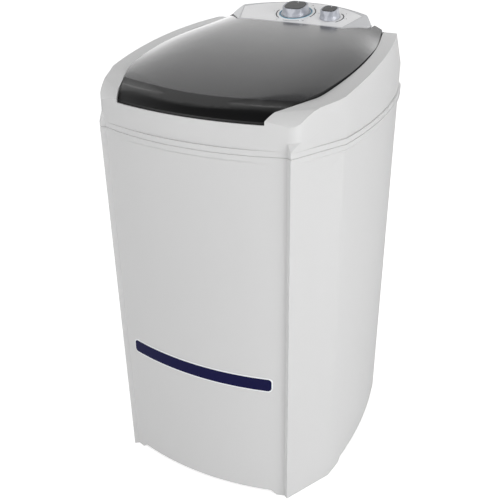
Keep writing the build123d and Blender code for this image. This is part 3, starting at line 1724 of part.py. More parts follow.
parts = {
    "cabinet": cabinet,
    "foot_pads": foot_pad,
    "base_guard": base_guard,
    "case_screws": case_screws,
    "trim_bezel": trim_bezel,
    "trim_strip": trim_strip,
    "wash_tub": tub,
    "drain_grille": drain_grille,
    "filter_guide": filter_guide,
    "lint_filter": lint_filter,
    "top_cover": cover,
    "lid": lid,
    "hinge_pins": hinge_pins,
    "lid_bumpers": lid_bumpers,
    "console": console,
    "console_fascia": fascia,
    "dial_ring": dial_ring,
    "support_plate": support_plate,
    "frame_bolts": frame_bolts,
    "frame_nuts": frame_nuts,
    "bearing_housing": bearing_housing,
    "shaft_bushes": shaft_bushes,
    "shaft_seal": shaft_seal,
    "drive_shaft": drive_shaft,
    "thrust_washer": thrust_washer,
    "shaft_nut": shaft_nut,
    "driven_pulley": driven_pulley,
    "drive_belt": drive_belt,
    "agitator": agitator,
    "agitator_screw": agitator_screw,
    "agitator_cap": agitator_cap,
    "motor_housing": motor_housing,
    "motor_end_caps": motor_end_caps,
    "stator_core": stator_core,
    "windings": windings,
    "rotor": rotor,
    "motor_shaft": motor_shaft,
    "motor_bearings": motor_bearings,
    "motor_fan": motor_fan,
    "motor_pulley": motor_pulley,
    "rubber_mounts": rubber_mounts,
    "capacitor": capacitor,
    "capacitor_clip": capacitor_clip,
    "drain_cup": drain_cup,
    "drain_hose": drain_hose,
    "hose_clamps": hose_clamps,
    "drain_outlet": drain_outlet,
    "cable_gland": cable_gland,
    "water_inlet": water_inlet,
    "inlet_pipe": inlet_pipe,
    "wiring_loom": wiring_loom,
    "loom_clips": loom_clips,
}

timer_place = (timer_x, timer_row)
selector_place = (selector_x, selector_row)
parts["timer_knob"] = lambda: knob(
    timer_place, timer_base, timer_shoulder, timer_grip, timer_grip_round, timer_top, timer_rim
)
parts["timer_insert"] = lambda: knob_insert(
    timer_place, timer_grip, timer_grip_round, timer_top, timer_rim
)
parts["timer_switch"] = lambda: switch_body(timer_place, timer_size, timer_height)
parts["timer_spindle"] = lambda: control_spindle(timer_place, timer_top, timer_height)
parts["selector_knob"] = lambda: knob(
    selector_place, selector_base, selector_shoulder, selector_grip, selector_grip_round,
    selector_top, selector_rim,
)
parts["selector_insert"] = lambda: knob_insert(
    selector_place, selector_grip, selector_grip_round, selector_top, selector_rim
)
parts["selector_switch"] = lambda: switch_body(selector_place, selector_size, selector_height)
parts["selector_spindle"] = lambda: control_spindle(selector_place, selector_top, selector_height)

os.makedirs("parts", exist_ok=True)
for name, make in parts.items():
    export_step(make(), "parts/" + name + ".step")
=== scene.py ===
import json
import math

import bmesh
import bpy
from bpy.props import FloatProperty, FloatVectorProperty, IntProperty, PointerProperty
from bpy.types import Operator, Panel, PropertyGroup
from mathutils import Matrix, Vector

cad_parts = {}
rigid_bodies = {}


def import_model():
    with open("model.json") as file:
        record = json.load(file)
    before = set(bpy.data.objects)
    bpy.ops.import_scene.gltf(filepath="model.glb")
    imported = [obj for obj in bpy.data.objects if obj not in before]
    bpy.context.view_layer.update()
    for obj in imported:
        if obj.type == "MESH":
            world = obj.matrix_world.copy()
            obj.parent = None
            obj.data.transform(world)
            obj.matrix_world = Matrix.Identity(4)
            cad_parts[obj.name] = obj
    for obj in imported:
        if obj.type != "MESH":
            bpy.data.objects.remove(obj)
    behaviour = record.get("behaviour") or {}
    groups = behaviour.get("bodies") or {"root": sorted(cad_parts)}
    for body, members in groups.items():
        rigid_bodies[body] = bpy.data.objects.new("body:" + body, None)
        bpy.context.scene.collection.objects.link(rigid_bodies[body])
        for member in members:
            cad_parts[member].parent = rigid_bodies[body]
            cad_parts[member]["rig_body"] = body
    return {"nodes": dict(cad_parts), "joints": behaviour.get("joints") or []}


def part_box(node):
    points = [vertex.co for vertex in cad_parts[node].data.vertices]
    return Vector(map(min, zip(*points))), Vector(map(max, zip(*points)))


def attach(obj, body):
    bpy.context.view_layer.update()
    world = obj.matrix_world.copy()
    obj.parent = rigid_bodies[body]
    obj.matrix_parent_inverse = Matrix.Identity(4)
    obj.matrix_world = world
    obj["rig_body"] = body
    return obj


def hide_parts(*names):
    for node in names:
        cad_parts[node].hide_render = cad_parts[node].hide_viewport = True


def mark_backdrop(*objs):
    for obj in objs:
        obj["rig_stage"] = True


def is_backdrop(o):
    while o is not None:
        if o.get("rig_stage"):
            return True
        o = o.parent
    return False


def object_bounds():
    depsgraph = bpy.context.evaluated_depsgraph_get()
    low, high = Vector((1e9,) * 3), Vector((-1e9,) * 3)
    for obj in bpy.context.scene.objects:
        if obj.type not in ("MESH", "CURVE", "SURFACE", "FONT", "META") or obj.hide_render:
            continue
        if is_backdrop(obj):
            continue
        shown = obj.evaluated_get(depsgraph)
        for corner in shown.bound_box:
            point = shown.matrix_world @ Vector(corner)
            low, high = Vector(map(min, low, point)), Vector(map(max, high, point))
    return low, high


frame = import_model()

bl_info = {
    "name": "Washing machine visual model",
    "version": (1, 0, 0),
    "blender": (4, 5, 0),
    "location": "View3D > Sidebar > Washer",
    "description": "Dresses the packed washing machine with finishes, dial marks and a studio",
    "category": "Object",
}

FINISH_ENDING = "_finish"

# The lid's front band and steep rim, painted near-black as shade
SHADE_BAND_BLUR = 0.0015
# Slopes at which the lid's rim starts and finishes turning to painted shade
SHADE_SLOPE_START = 0.25
SHADE_SLOPE_FULL = 0.45

# The dial ring's pale lip, measured in from the ring's rim
LIP_START = 0.0016
LIP_FULL = 0.0008

# Marks round the controls: gaps out from the arcs in metres, angles in degrees from the right
TICK_GAP = 0.0036
DIGIT_GAP = 0.0090
LOW_ARC_GAP = 0.0040
LOW_ARC_SHARE = 0.7
ARC_STEPS = 40
DIGIT_STEPS = 3
DIGIT_MERGE = 0.000001
TIMER_START = 240.0
TIMER_SWEEP = 290.0
TIMER_MINUTES = 20.0
TIMER_NUMBERS = (0, 4, 8, 12, 16, 20)
SELECTOR_START = 135.0
SELECTOR_STEP = 45.0
SELECTOR_PLACES = 4
POINTER_SINK = 0.0001
POINTER_RISE = 0.00012

# The studio
FLOOR_GAP = 0.0004
PLAIN_LIGHT = 0.455
LAMP_AIM = (0.0, 0.0, 0.5)


# Settings
class FinishSettings(PropertyGroup):
    merge_distance: FloatProperty(
        name="Merge distance",
        description="Corners of the packed mesh closer than this become one",
        default=0.000005,
        unit="LENGTH",
        precision=6,
    )
    flat_angle: FloatProperty(
        name="Flat angle",
        description="Neighbouring faces that turn less than this become one face",
        default=math.radians(0.05),
        subtype="ANGLE",
    )
    sharp_angle: FloatProperty(
        name="Sharp angle",
        description="Edges that turn more than this stay crisp, and take the edge rounding",
        default=math.radians(24.0),
        subtype="ANGLE",
    )
    shell_edge: FloatProperty(
        name="Shell edge",
        description="Rounding of the edges of the outer mouldings",
        default=0.0012,
        unit="LENGTH",
    )
    small_edge: FloatProperty(
        name="Small edge",
        description="Rounding of the edges of small mouldings",
        default=0.0004,
        unit="LENGTH",
    )
    edge_steps: IntProperty(
        name="Edge steps",
        description="Number of faces across a rounded edge",
        default=2,
        min=1,
        max=6,
    )
    lid_front_radius: FloatProperty(
        name="Lid front radius",
        description="Radius of the lid's bowed front edge, seen from above",
        default=0.6386,
        unit="LENGTH",
    )
    # Depth of the painted shade band along the lid's front
    lid_band_depth: FloatProperty(
        name="Lid band depth",
        description="How far the lid's black front band runs back from its front edge",
        default=0.062,
        unit="LENGTH",
    )


class DialSettings(PropertyGroup):
    mark_thickness: FloatProperty(
        name="Mark thickness",
        description="Height of the printed marks above the fascia",
        default=0.00012,
        unit="LENGTH",
        precision=5,
    )
    mark_sink: FloatProperty(
        name="Mark sink",
        description="Depth of the printed marks below the fascia's face",
        default=0.00006,
        unit="LENGTH",
        precision=5,
    )
    arc_width: FloatProperty(
        name="Arc width",
        description="Width of the dark arcs round the knobs",
        default=0.0026,
        unit="LENGTH",
    )
    timer_arc_radius: FloatProperty(
        name="Timer arc radius",
        description="Radius of the arcs round the timer knob",
        default=0.0470,
        unit="LENGTH",
    )
    selector_arc_radius: FloatProperty(
        name="Selector arc radius",
        description="Radius of the arcs round the selector knob",
        default=0.0320,
        unit="LENGTH",
    )
    timer_ticks: IntProperty(
        name="Timer ticks",
        description="Number of minute ticks round the timer knob",
        default=21,
        min=2,
        max=120,
    )
    selector_ticks: IntProperty(
        name="Selector ticks",
        description="Number of ticks round the selector knob",
        default=4,
        min=2,
        max=40,
    )
    tick_length: FloatProperty(
        name="Tick length",
        description="Length of a tick along its radius",
        default=0.0030,
        unit="LENGTH",
    )
    tick_width: FloatProperty(
        name="Tick width",
        description="Width of a tick",
        default=0.0007,
        unit="LENGTH",
        precision=5,
    )
    digit_size: FloatProperty(
        name="Digit size",
        description="Height of the numbers round the knobs",
        default=0.0048,
        unit="LENGTH",
    )


class StudioSettings(PropertyGroup):
    camera_place: FloatVectorProperty(
        name="Camera place",
        description="Where the camera stands in the frame",
        default=(0.763995, -1.533609, 1.365116),
        subtype="TRANSLATION",
        precision=6,
    )
    camera_azimuth: FloatProperty(
        name="Camera azimuth",
        description="Turn of the camera about the vertical, from facing the machine's front",
        default=math.radians(26.9976),
        subtype="ANGLE",
    )
    camera_elevation: FloatProperty(
        name="Camera elevation",
        description="How far the camera looks down",
        default=math.radians(26.9934),
        subtype="ANGLE",
    )
    camera_lens: FloatProperty(
        name="Camera lens",
        description="Focal length on a sensor 36 mm wide",
        default=56.16,
        unit="CAMERA",
    )
    floor_size: FloatProperty(
        name="Floor size",
        description="Side of the studio floor",
        default=24.0,
        unit="LENGTH",
    )


# Shader trees
class Value:
    """A socket of a shader tree that takes part in sums."""

    def __init__(self, tree, socket):
        self.tree = tree
        self.socket = socket

    def maths(self, operation, *others):
        return self.tree.maths(operation, self, *others)

    def __add__(self, other):
        return self.tree.maths("ADD", self, other)

    def __radd__(self, other):
        return self.tree.maths("ADD", other, self)

    def __sub__(self, other):
        return self.tree.maths("SUBTRACT", self, other)

    def __rsub__(self, other):
        return self.tree.maths("SUBTRACT", other, self)

    def __mul__(self, other):
        return self.tree.maths("MULTIPLY", self, other)

    def __rmul__(self, other):
        return self.tree.maths("MULTIPLY", other, self)

    def __truediv__(self, other):
        return self.tree.maths("DIVIDE", self, other)

    def __rtruediv__(self, other):
        return self.tree.maths("DIVIDE", other, self)

    def __pow__(self, other):
        return self.tree.maths("POWER", self, other)

    def __rpow__(self, other):
        return self.tree.maths("POWER", other, self)

    def step(self, low, high):
        """Rises smoothly from 0 at low to 1 at high."""
        return self.tree.add(
            "ShaderNodeMapRange",
            {"interpolation_type": "SMOOTHSTEP"},
            {"Value": self, "From Min": low, "From Max": high},
        )


class ShaderTree:
    """Builds one material's nodes."""

    def __init__(self, name):
        self.material = bpy.data.materials.new(name + FINISH_ENDING)
        self.material.use_nodes = True
        self.nodes = self.material.node_tree.nodes
        self.links = self.material.node_tree.links
        self.nodes.clear()
        self.output = self.nodes.new("ShaderNodeOutputMaterial")

    def put(self, socket, value):
        if isinstance(value, Value):
            self.links.new(value.socket, socket)
        else:
            socket.default_value = value

    def add(self, kind, settings=None, inputs=None, result=None):
        """Adds a node, sets it up, joins its inputs and returns one of its outputs."""
        node = self.nodes.new(kind)
        for key, value in (settings or {}).items():
            setattr(node, key, value)
        for key, value in (inputs or {}).items():
            self.put(node.inputs[key], value)
        found = node.outputs[result] if result is not None else node.outputs[0]
        return Value(self, found)

    def maths(self, operation, *values):
        inputs = dict(enumerate(values))
        return self.add("ShaderNodeMath", {"operation": operation}, inputs)

    def mix(self, factor, low, high):
        """Blends two colours."""
        node = self.nodes.new("ShaderNodeMix")
        node.data_type = "RGBA"
        node.blend_type = "MIX"
        sockets = {s.identifier: s for s in node.inputs}
        self.put(sockets["Factor_Float"], factor)
        self.put(sockets["A_Color"], low)
        self.put(sockets["B_Color"], high)
        found = [s for s in node.outputs if s.identifier == "Result_Color"][0]
        return Value(self, found)

    def place(self):
        return self.add("ShaderNodeTexCoord", None, None, "Object")

    def axes(self, place):
        """The three coordinates of a place, each as a value."""
        node = self.nodes.new("ShaderNodeSeparateXYZ")
        self.put(node.inputs[0], place)
        return [Value(self, s) for s in node.outputs]

    def distance(self, place, point):
        inputs = {0: place, 1: tuple(point)}
        return self.add("ShaderNodeVectorMath", {"operation": "DISTANCE"}, inputs, "Value")

    def noise(self, place, scale, detail=2.0, roughness=0.5, stretch=None):
        if stretch is not None:
            place = self.add("ShaderNodeMapping", None, {"Vector": place, "Scale": stretch})
        inputs = {"Vector": place, "Scale": scale, "Detail": detail, "Roughness": roughness}
        return self.add("ShaderNodeTexNoise", None, inputs)

    def bump(self, height, distance):
        inputs = {"Height": height, "Distance": distance, "Strength": 1.0}
        return self.add("ShaderNodeBump", None, inputs)

    def surface(self, **inputs):
        """Adds the surface shader, with an input's name written with _ for a space."""
        named = {key.replace("_", " "): value for key, value in inputs.items()}
        return self.add("ShaderNodeBsdfPrincipled", None, named)

    def finish(self, shader):
        self.put(self.output.inputs["Surface"], shader)
        return self.material


def linear(level):
    """One channel of a screen colour, from 0 to 255, as light."""
    part = level / 255.0
    return part / 12.92 if part <= 0.04045 else ((part + 0.055) / 1.055) ** 2.4


def colour(red, green, blue):
    return (linear(red), linear(green), linear(blue), 1.0)


def shaded(tone, share):
    """The same colour with its light multiplied."""
    return tuple(min(1.0, part * share) for part in tone[:3]) + (1.0,)


def moulded(name, tone, rough, grain, mottle=0.03, coat=0.0, scuff=0.05):
    """Injection-moulded plastic: faint flow clouds, uneven gloss and a fine skin."""
    tree = ShaderTree(name)
    place = tree.place()
    cloud = tree.noise(place, 5.0, 3.0)
    flow = tree.noise(place, 16.0, 2.0, 0.5, (1.0, 1.0, 0.25))
    deep, light = shaded(tone, 1.0 - mottle), shaded(tone, 1.0 + mottle)
    base = tree.mix(cloud * 0.6 + flow * 0.4, deep, light)
    gloss = rough + (tree.noise(place, 60.0, 4.0) - 0.5) * scuff + (cloud - 0.5) * scuff
    skin = tree.noise(place, 900.0, 2.0) * 0.7 + tree.noise(place, 240.0, 1.0) * 0.3
    shader = tree.surface(
        Base_Color=base,
        Roughness=gloss,
        Coat_Weight=coat,
        Coat_Roughness=0.12,
        Normal=tree.bump(skin, grain),
    )
    return tree.finish(shader)


def pale_body():
    return moulded("pale_body", colour(209, 209, 209), 0.36, 0.00003, 0.012)


def tub_white():
    return moulded("tub_white", colour(226, 228, 229), 0.34, 0.00005, 0.02)


def console_grey():
    return moulded("console_grey", colour(208, 209, 211), 0.32, 0.00002, 0.012)


def fascia_white():
    return moulded("fascia_white", colour(250, 250, 251), 0.30, 0.00001, 0.006)


def knob_grey():
    """Satin silver paint over plastic, with a very fine flake."""
    tree = ShaderTree("knob_grey")
    place = tree.place()
    flake = tree.add("ShaderNodeTexVoronoi", None, {"Vector": place, "Scale": 5000.0}, "Distance")
    cloud = tree.noise(place, 60.0, 3.0)
    tone = colour(172, 175, 184)
    shader = tree.surface(
        Base_Color=tree.mix(flake * 0.7 + cloud * 0.3, shaded(tone, 0.93), shaded(tone, 1.06)),
        Metallic=0.1,
        Roughness=0.30 + cloud * 0.06,
        Coat_Weight=0.35,
        Coat_Roughness=0.1,
        Normal=tree.bump(tree.noise(place, 1500.0, 1.0), 0.00001),
    )
    return tree.finish(shader)


def knob_dark():
    return moulded("knob_dark", colour(20, 21, 25), 0.24, 0.00001, 0.05, 0.1, 0.03)


def dial_blue():
    """Clear blue ring, paler along its outer lip."""
    tree = ShaderTree("dial_blue")
    place = tree.place()
    cloud = tree.noise(place, 90.0, 2.0)
    centre = control_frame("timer_turn").translation
    rim = max((v.co - centre).length for v in frame["nodes"]["dial_ring"].data.vertices)
    lip = tree.distance(place, centre).step(rim - LIP_START, rim - LIP_FULL)
    deep = tree.mix(cloud, colour(44, 96, 126), colour(56, 110, 140))
    shader = tree.surface(
        Base_Color=tree.mix(lip, deep, colour(176, 218, 234)),
        Roughness=0.16 + cloud * 0.05,
        Coat_Weight=0.25,
        Coat_Roughness=0.05,
    )
    return tree.finish(shader)


def navy_trim():
    """Deep blue gloss, printed behind a clear face."""
    tree = ShaderTree("navy_trim")
    place = tree.place()
    cloud = tree.noise(place, 14.0, 3.0)
    shader = tree.surface(
        Base_Color=tree.mix(cloud, colour(15, 15, 58), colour(19, 19, 66)),
        Roughness=0.20 + (tree.noise(place, 120.0, 3.0) - 0.5) * 0.06,
        Specular_IOR_Level=0.12,
        Normal=tree.bump(tree.noise(place, 50.0, 2.0), 0.00004),
    )
    return tree.finish(shader)


def trim_silver():
    return moulded("trim_silver", colour(245, 247, 250), 0.25, 0.00001, 0.01, 0.4)


def smoked_lid():
    """Smoke-tinted gloss plastic that lets some light through, with painted shade in near-black
    along its front band and steep rim.
    """
    tree = ShaderTree("smoked_lid")
    place = tree.place()
    settings = bpy.context.scene.washer_finish
    radius = settings.lid_front_radius
    x, y = tree.axes(place)[:2]
    back = y - (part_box("lid")[0][1] + radius)
    from_axis = (x * x + back * back) ** 0.5
    # Painted shade: the lid's turned-down front band is blended to near-black
    shade_band_start = radius - settings.lid_band_depth
    painted_front_shade = from_axis.step(shade_band_start - SHADE_BAND_BLUR, shade_band_start + SHADE_BAND_BLUR)
    # Painted shade: faces that slope steeply along the lid's rim are darkened by their slope
    up = tree.axes(tree.add("ShaderNodeTexCoord", None, None, "Normal"))[2]
    rim = (1.0 - up).step(SHADE_SLOPE_START, SHADE_SLOPE_FULL)
    # Painted shade over the front band and the steep rim together
    painted_shade = painted_front_shade.maths("MAXIMUM", rim)
    cloud = tree.noise(place, 7.0, 3.0)
    streak = tree.noise(place, 9.0, 2.0, 0.5, (0.5, 2.0, 2.0))
    smoke = tree.mix(cloud, colour(38, 38, 40), colour(46, 46, 48))
    # The painted shade turns the smoke near-black, duller and less see-through
    shader = tree.surface(
        Base_Color=tree.mix(painted_shade, smoke, colour(14, 14, 15)),
        Roughness=0.22 + streak * 0.06 + painted_shade * 0.12,
        Specular_IOR_Level=0.42,
        Alpha=0.93 + painted_shade * 0.07,
        Coat_Weight=0.9 - painted_shade * 0.9,
        Coat_Roughness=0.16,
        Normal=tree.bump(tree.noise(place, 20.0, 2.0), 0.00005),
    )
    return tree.finish(shader)


def black_plastic():
    return moulded("black_plastic", colour(40, 40, 42), 0.55, 0.00008, 0.08)


def grey_plastic():
    return moulded("grey_plastic", colour(150, 152, 156), 0.5, 0.00006, 0.04)


def agitator_blue():
    return moulded("agitator_blue", colour(120, 150, 190), 0.33, 0.00004, 0.03, 0.2)


def rubber_black():
    """Dull rubber with a dusting of pale bloom."""
    tree = ShaderTree("rubber_black")
    place = tree.place()
    dust = tree.noise(place, 45.0, 5.0, 0.6).step(0.45, 0.75)
    shader = tree.surface(
        Base_Color=tree.mix(dust * 0.5, colour(33, 33, 34), colour(62, 62, 62)),
        Roughness=0.72 + dust * 0.12,
        Normal=tree.bump(tree.noise(place, 1100.0, 3.0), 0.00012),
    )
    return tree.finish(shader)


def zinc_steel():
    """Zinc-plated steel with small crystals."""
    tree = ShaderTree("zinc_steel")
    place = tree.place()
    grain = tree.add("ShaderNodeTexVoronoi", None, {"Vector": place, "Scale": 420.0}, "Color")
    crystal = tree.axes(grain)[0]
    shader = tree.surface(
        Base_Color=tree.mix(crystal, colour(176, 180, 184), colour(206, 209, 211)),
        Metallic=1.0,
        Roughness=0.26 + crystal * 0.12,
        Normal=tree.bump(tree.noise(place, 800.0, 3.0), 0.00003),
    )
    return tree.finish(shader)


def painted_frame():
    """Powder coat on steel."""
    tree = ShaderTree("painted_frame")
    place = tree.place()
    cloud = tree.noise(place, 9.0, 3.0)
    shader = tree.surface(
        Base_Color=tree.mix(cloud, colour(96, 100, 106), colour(110, 114, 120)),
        Roughness=0.46 + (cloud - 0.5) * 0.1,
        Normal=tree.bump(tree.noise(place, 700.0, 2.0), 0.00010),
    )
    return tree.finish(shader)


def bright_shaft():
    """Ground steel with fine turning marks along the axis."""
    tree = ShaderTree("bright_shaft")
    place = tree.place()
    turned = tree.noise(place, 90.0, 3.0, 0.6, (0.2, 0.2, 30.0))
    shader = tree.surface(
        Base_Color=tree.mix(turned, colour(186, 188, 190), colour(214, 215, 216)),
        Metallic=1.0,
        Roughness=0.20 + turned * 0.12,
        Normal=tree.bump(turned, 0.00002),
    )
    return tree.finish(shader)


def cast_alloy():
    """Die-cast aluminium, slightly sandy."""
    tree = ShaderTree("cast_alloy")
    place = tree.place()
    sand = tree.noise(place, 650.0, 4.0)
    stain = tree.noise(place, 22.0, 4.0)
    shader = tree.surface(
        Base_Color=tree.mix(stain, colour(150, 152, 154), colour(184, 186, 187)),
        Metallic=0.9,
        Roughness=0.42 + stain * 0.14,
        Normal=tree.bump(sand, 0.00015),
    )
    return tree.finish(shader)


def core_steel():
    """A stack of thin steel sheets, seen on edge."""
    tree = ShaderTree("core_steel")
    place = tree.place()
    height = tree.axes(place)[2]
    sheet = (height * 2.0 * math.pi / 0.001).maths("SINE") * 0.5 + 0.5
    rust = tree.noise(place, 60.0, 4.0).step(0.5, 0.8)
    plain = tree.mix(sheet, colour(92, 92, 94), colour(140, 140, 142))
    shader = tree.surface(
        Base_Color=tree.mix(rust * 0.25, plain, colour(112, 92, 80)),
        Metallic=0.85,
        Roughness=0.45 + rust * 0.2,
        Normal=tree.bump(sheet, 0.00010),
    )
    return tree.finish(shader)


def copper_wire():
    """Lacquered copper, wound in fine turns."""
    tree = ShaderTree("copper_wire")
    place = tree.place()
    x, y = tree.axes(place)[:2]
    turn = ((x + y) * 2.0 * math.pi / 0.0012).maths("SINE") * 0.5 + 0.5
    lacquer = tree.noise(place, 80.0, 3.0)
    shader = tree.surface(
        Base_Color=tree.mix(lacquer, colour(150, 72, 38), colour(190, 104, 58)),
        Metallic=0.85,
        Roughness=0.30 + turn * 0.15,
        Coat_Weight=0.4,
        Coat_Roughness=0.2,
        Normal=tree.bump(turn, 0.00015),
    )
    return tree.finish(shader)


def bronze_bush():
    """Sintered bronze, dark with oil in its pores."""
    tree = ShaderTree("bronze_bush")
    place = tree.place()
    pore = tree.noise(place, 2400.0, 2.0).step(0.52, 0.62)
    shader = tree.surface(
        Base_Color=tree.mix(pore, colour(168, 128, 78), colour(92, 66, 40)),
        Metallic=0.9,
        Roughness=0.36 + pore * 0.2,
        Normal=tree.bump(1.0 - pore, 0.00006),
    )
    return tree.finish(shader)


def braided_black():
    """A loom wrapped in tape, lapped at an angle."""
    tree = ShaderTree("braided_black")
    place = tree.place()
    x, y, z = tree.axes(place)
    lap = ((x + y * 0.6 + z) * 2.0 * math.pi / 0.009).maths("SINE") * 0.5 + 0.5
    edge = lap.step(0.85, 0.97)
    shader = tree.surface(
        Base_Color=tree.mix(edge, colour(30, 30, 31), colour(52, 52, 53)),
        Roughness=0.5 + edge * 0.15,
        Normal=tree.bump(lap, 0.00030),
    )
    return tree.finish(shader)


def printed(name, low, high, rough):
    """Screen-printed ink, with a soft uneven gloss."""
    tree = ShaderTree(name)
    place = tree.place()
    cloud = tree.noise(place, 300.0, 3.0)
    shader = tree.surface(Base_Color=tree.mix(cloud, low, high), Roughness=rough + cloud * 0.08)
    return tree.finish(shader)


def print_black():
    return printed("print_black", colour(26, 27, 31), colour(38, 39, 44), 0.42)


def print_grey():
    return printed("print_grey", colour(146, 149, 156), colour(162, 165, 171), 0.42)


def print_white():
    return printed("print_white", colour(222, 224, 228), colour(238, 240, 243), 0.38)


FINISHES = {
    "pale_body": pale_body,
    "smoked_lid": smoked_lid,
    "console_grey": console_grey,
    "fascia_white": fascia_white,
    "dial_blue": dial_blue,
    "knob_grey": knob_grey,
    "knob_dark": knob_dark,
    "navy_trim": navy_trim,
    "trim_silver": trim_silver,
    "tub_white": tub_white,
    "agitator_blue": agitator_blue,
    "black_plastic": black_plastic,
    "grey_plastic": grey_plastic,
    "rubber_black": rubber_black,
    "zinc_steel": zinc_steel,
    "painted_frame": painted_frame,
    "bright_shaft": bright_shaft,
    "cast_alloy": cast_alloy,
    "core_steel": core_steel,
    "copper_wire": copper_wire,
    "bronze_bush": bronze_bush,
    "braided_black": braided_black,
    "print_black": print_black,
    "print_grey": print_grey,
    "print_white": print_white,
}


def finish_of(name):
    """The finish of that name, built the first time that it is asked for."""
    found = bpy.data.materials.get(name + FINISH_ENDING) or FINISHES[name]()
    kinds = [node.bl_idname for node in found.node_tree.nodes]
    textures = [kind for kind in kinds if kind.startswith("ShaderNodeTex")]
    if not textures:
        raise RuntimeError("the finish " + name + " is a flat colour")
    return found


# Meshes
def link(name, mesh):
    made = bpy.data.objects.new(name, mesh)
    bpy.context.scene.collection.objects.link(made)
    return made


def baked(work, name):
    """A plain mesh object of what the modifiers of a working object make."""
    graph = bpy.context.evaluated_depsgraph_get()
    mesh = bpy.data.meshes.new_from_object(work.evaluated_get(graph))
    mesh.name = name
    made = link(name, mesh)
    bpy.data.objects.remove(work)
    return made


def joined_copy(node):
    """A copy of a CAD node's mesh with its loose triangles joined into one skin."""
    settings = bpy.context.scene.washer_finish
    mesh = frame["nodes"][node].data.copy()
    mesh.materials.clear()
    work = bmesh.new()
    work.from_mesh(mesh)
    bmesh.ops.remove_doubles(work, verts=work.verts, dist=settings.merge_distance)
    bmesh.ops.dissolve_degenerate(work, dist=settings.merge_distance, edges=work.edges)
    bmesh.ops.recalc_face_normals(work, faces=work.faces)
    bmesh.ops.dissolve_limit(
        work,
        angle_limit=settings.flat_angle,
        use_dissolve_boundaries=False,
        verts=work.verts,
        edges=work.edges,
    )
    for face in work.faces:
        face.smooth = True
    work.to_mesh(mesh)
    work.free()
    for layer in [a.name for a in mesh.attributes if a.name.startswith("custom_normal")]:
        mesh.attributes.remove(mesh.attributes[layer])
    return mesh


def dressed(node, finish, rounding=0.0):
    """A smooth piece that stands in for a CAD node, its edges softened by the rounding."""
    settings = bpy.context.scene.washer_finish
    body = frame["nodes"][node]["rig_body"]
    mesh = joined_copy(node)
    mesh.set_sharp_from_angle(angle=settings.sharp_angle)
    mesh.materials.append(finish_of(finish))
    work = link(node + "_work", mesh)
    if rounding > 0.0:
        edge = work.modifiers.new("Edge", "BEVEL")
        edge.width = rounding
        edge.segments = settings.edge_steps
        edge.limit_method = "ANGLE"
        edge.angle_limit = settings.sharp_angle
        edge.harden_normals = True
        edge.use_clamp_overlap = True
        edge.miter_outer = "MITER_ARC"
    made = baked(work, node + "_piece")
    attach(made, body)
    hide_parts(node)
    return made


def dress_group(rows, rounding=0.0):
    for node, finish in rows:
        dressed(node, finish, rounding)


# The console's face, as a frame to print on
def control_frame(joint_name):
    """A frame on a control's axis and the fascia's top: X right, Y up the face, Z out of it."""
    joint = [j for j in frame["joints"] if j["name"] == joint_name][0]
    out = Vector(joint["axis"]).normalized()
    right = Vector((1.0, 0.0, 0.0))
    up = out.cross(right).normalized()
    centre = Vector(joint["pos_m"])
    fascia = frame["nodes"]["console_fascia"].data.vertices
    top = max((v.co - centre).dot(out) for v in fascia)
    at = centre + out * top
    return Matrix(
        (
            (right.x, up.x, out.x, at.x),
            (right.y, up.y, out.y, at.y),
            (right.z, up.z, out.z, at.z),
            (0.0, 0.0, 0.0, 1.0),
        )
    )


def arc_mesh(name, radius, width, start, end, low, high):
    """A flat band along an arc, closed at its ends, in the face's own frame."""
    mesh = bpy.data.meshes.new(name)
    points, faces = [], []
    inner, outer = radius - width / 2, radius + width / 2
    section = ((inner, low), (outer, low), (outer, high), (inner, high))
    for i in range(ARC_STEPS + 1):
        angle = start + (end - start) * i / ARC_STEPS
        for r, z in section:
            points.append((r * math.cos(angle), r * math.sin(angle), z))
    for i in range(ARC_STEPS):
        for k in range(4):
            a, b = i * 4 + k, i * 4 + (k + 1) % 4
            faces.append((a, b, b + 4, a + 4))
    faces.append((3, 2, 1, 0))
    last = ARC_STEPS * 4
    faces.append((last, last + 1, last + 2, last + 3))
    mesh.from_pydata(points, [], faces)
    work = bmesh.new()
    work.from_mesh(mesh)
    bmesh.ops.recalc_face_normals(work, faces=work.faces)
    work.to_mesh(mesh)
    work.free()
    return mesh


def print_arc(name, place, radius, width, start_degrees, end_degrees, ink):
    dial = bpy.context.scene.washer_dial
    mesh = arc_mesh(
        name,
        radius,
        width,
        math.radians(start_degrees),
        math.radians(end_degrees),
        -dial.mark_sink,
        dial.mark_thickness,
    )
    mesh.transform(place)
    mesh.materials.append(finish_of(ink))
    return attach(link(name, mesh), "machine")


def joined(name, meshes):
    """One mesh object of several meshes that share a material."""
    work = bmesh.new()
    for mesh in meshes:
        work.from_mesh(mesh)
    whole = bpy.data.meshes.new(name)
    work.to_mesh(whole)
    work.free()
    return link(name, whole)


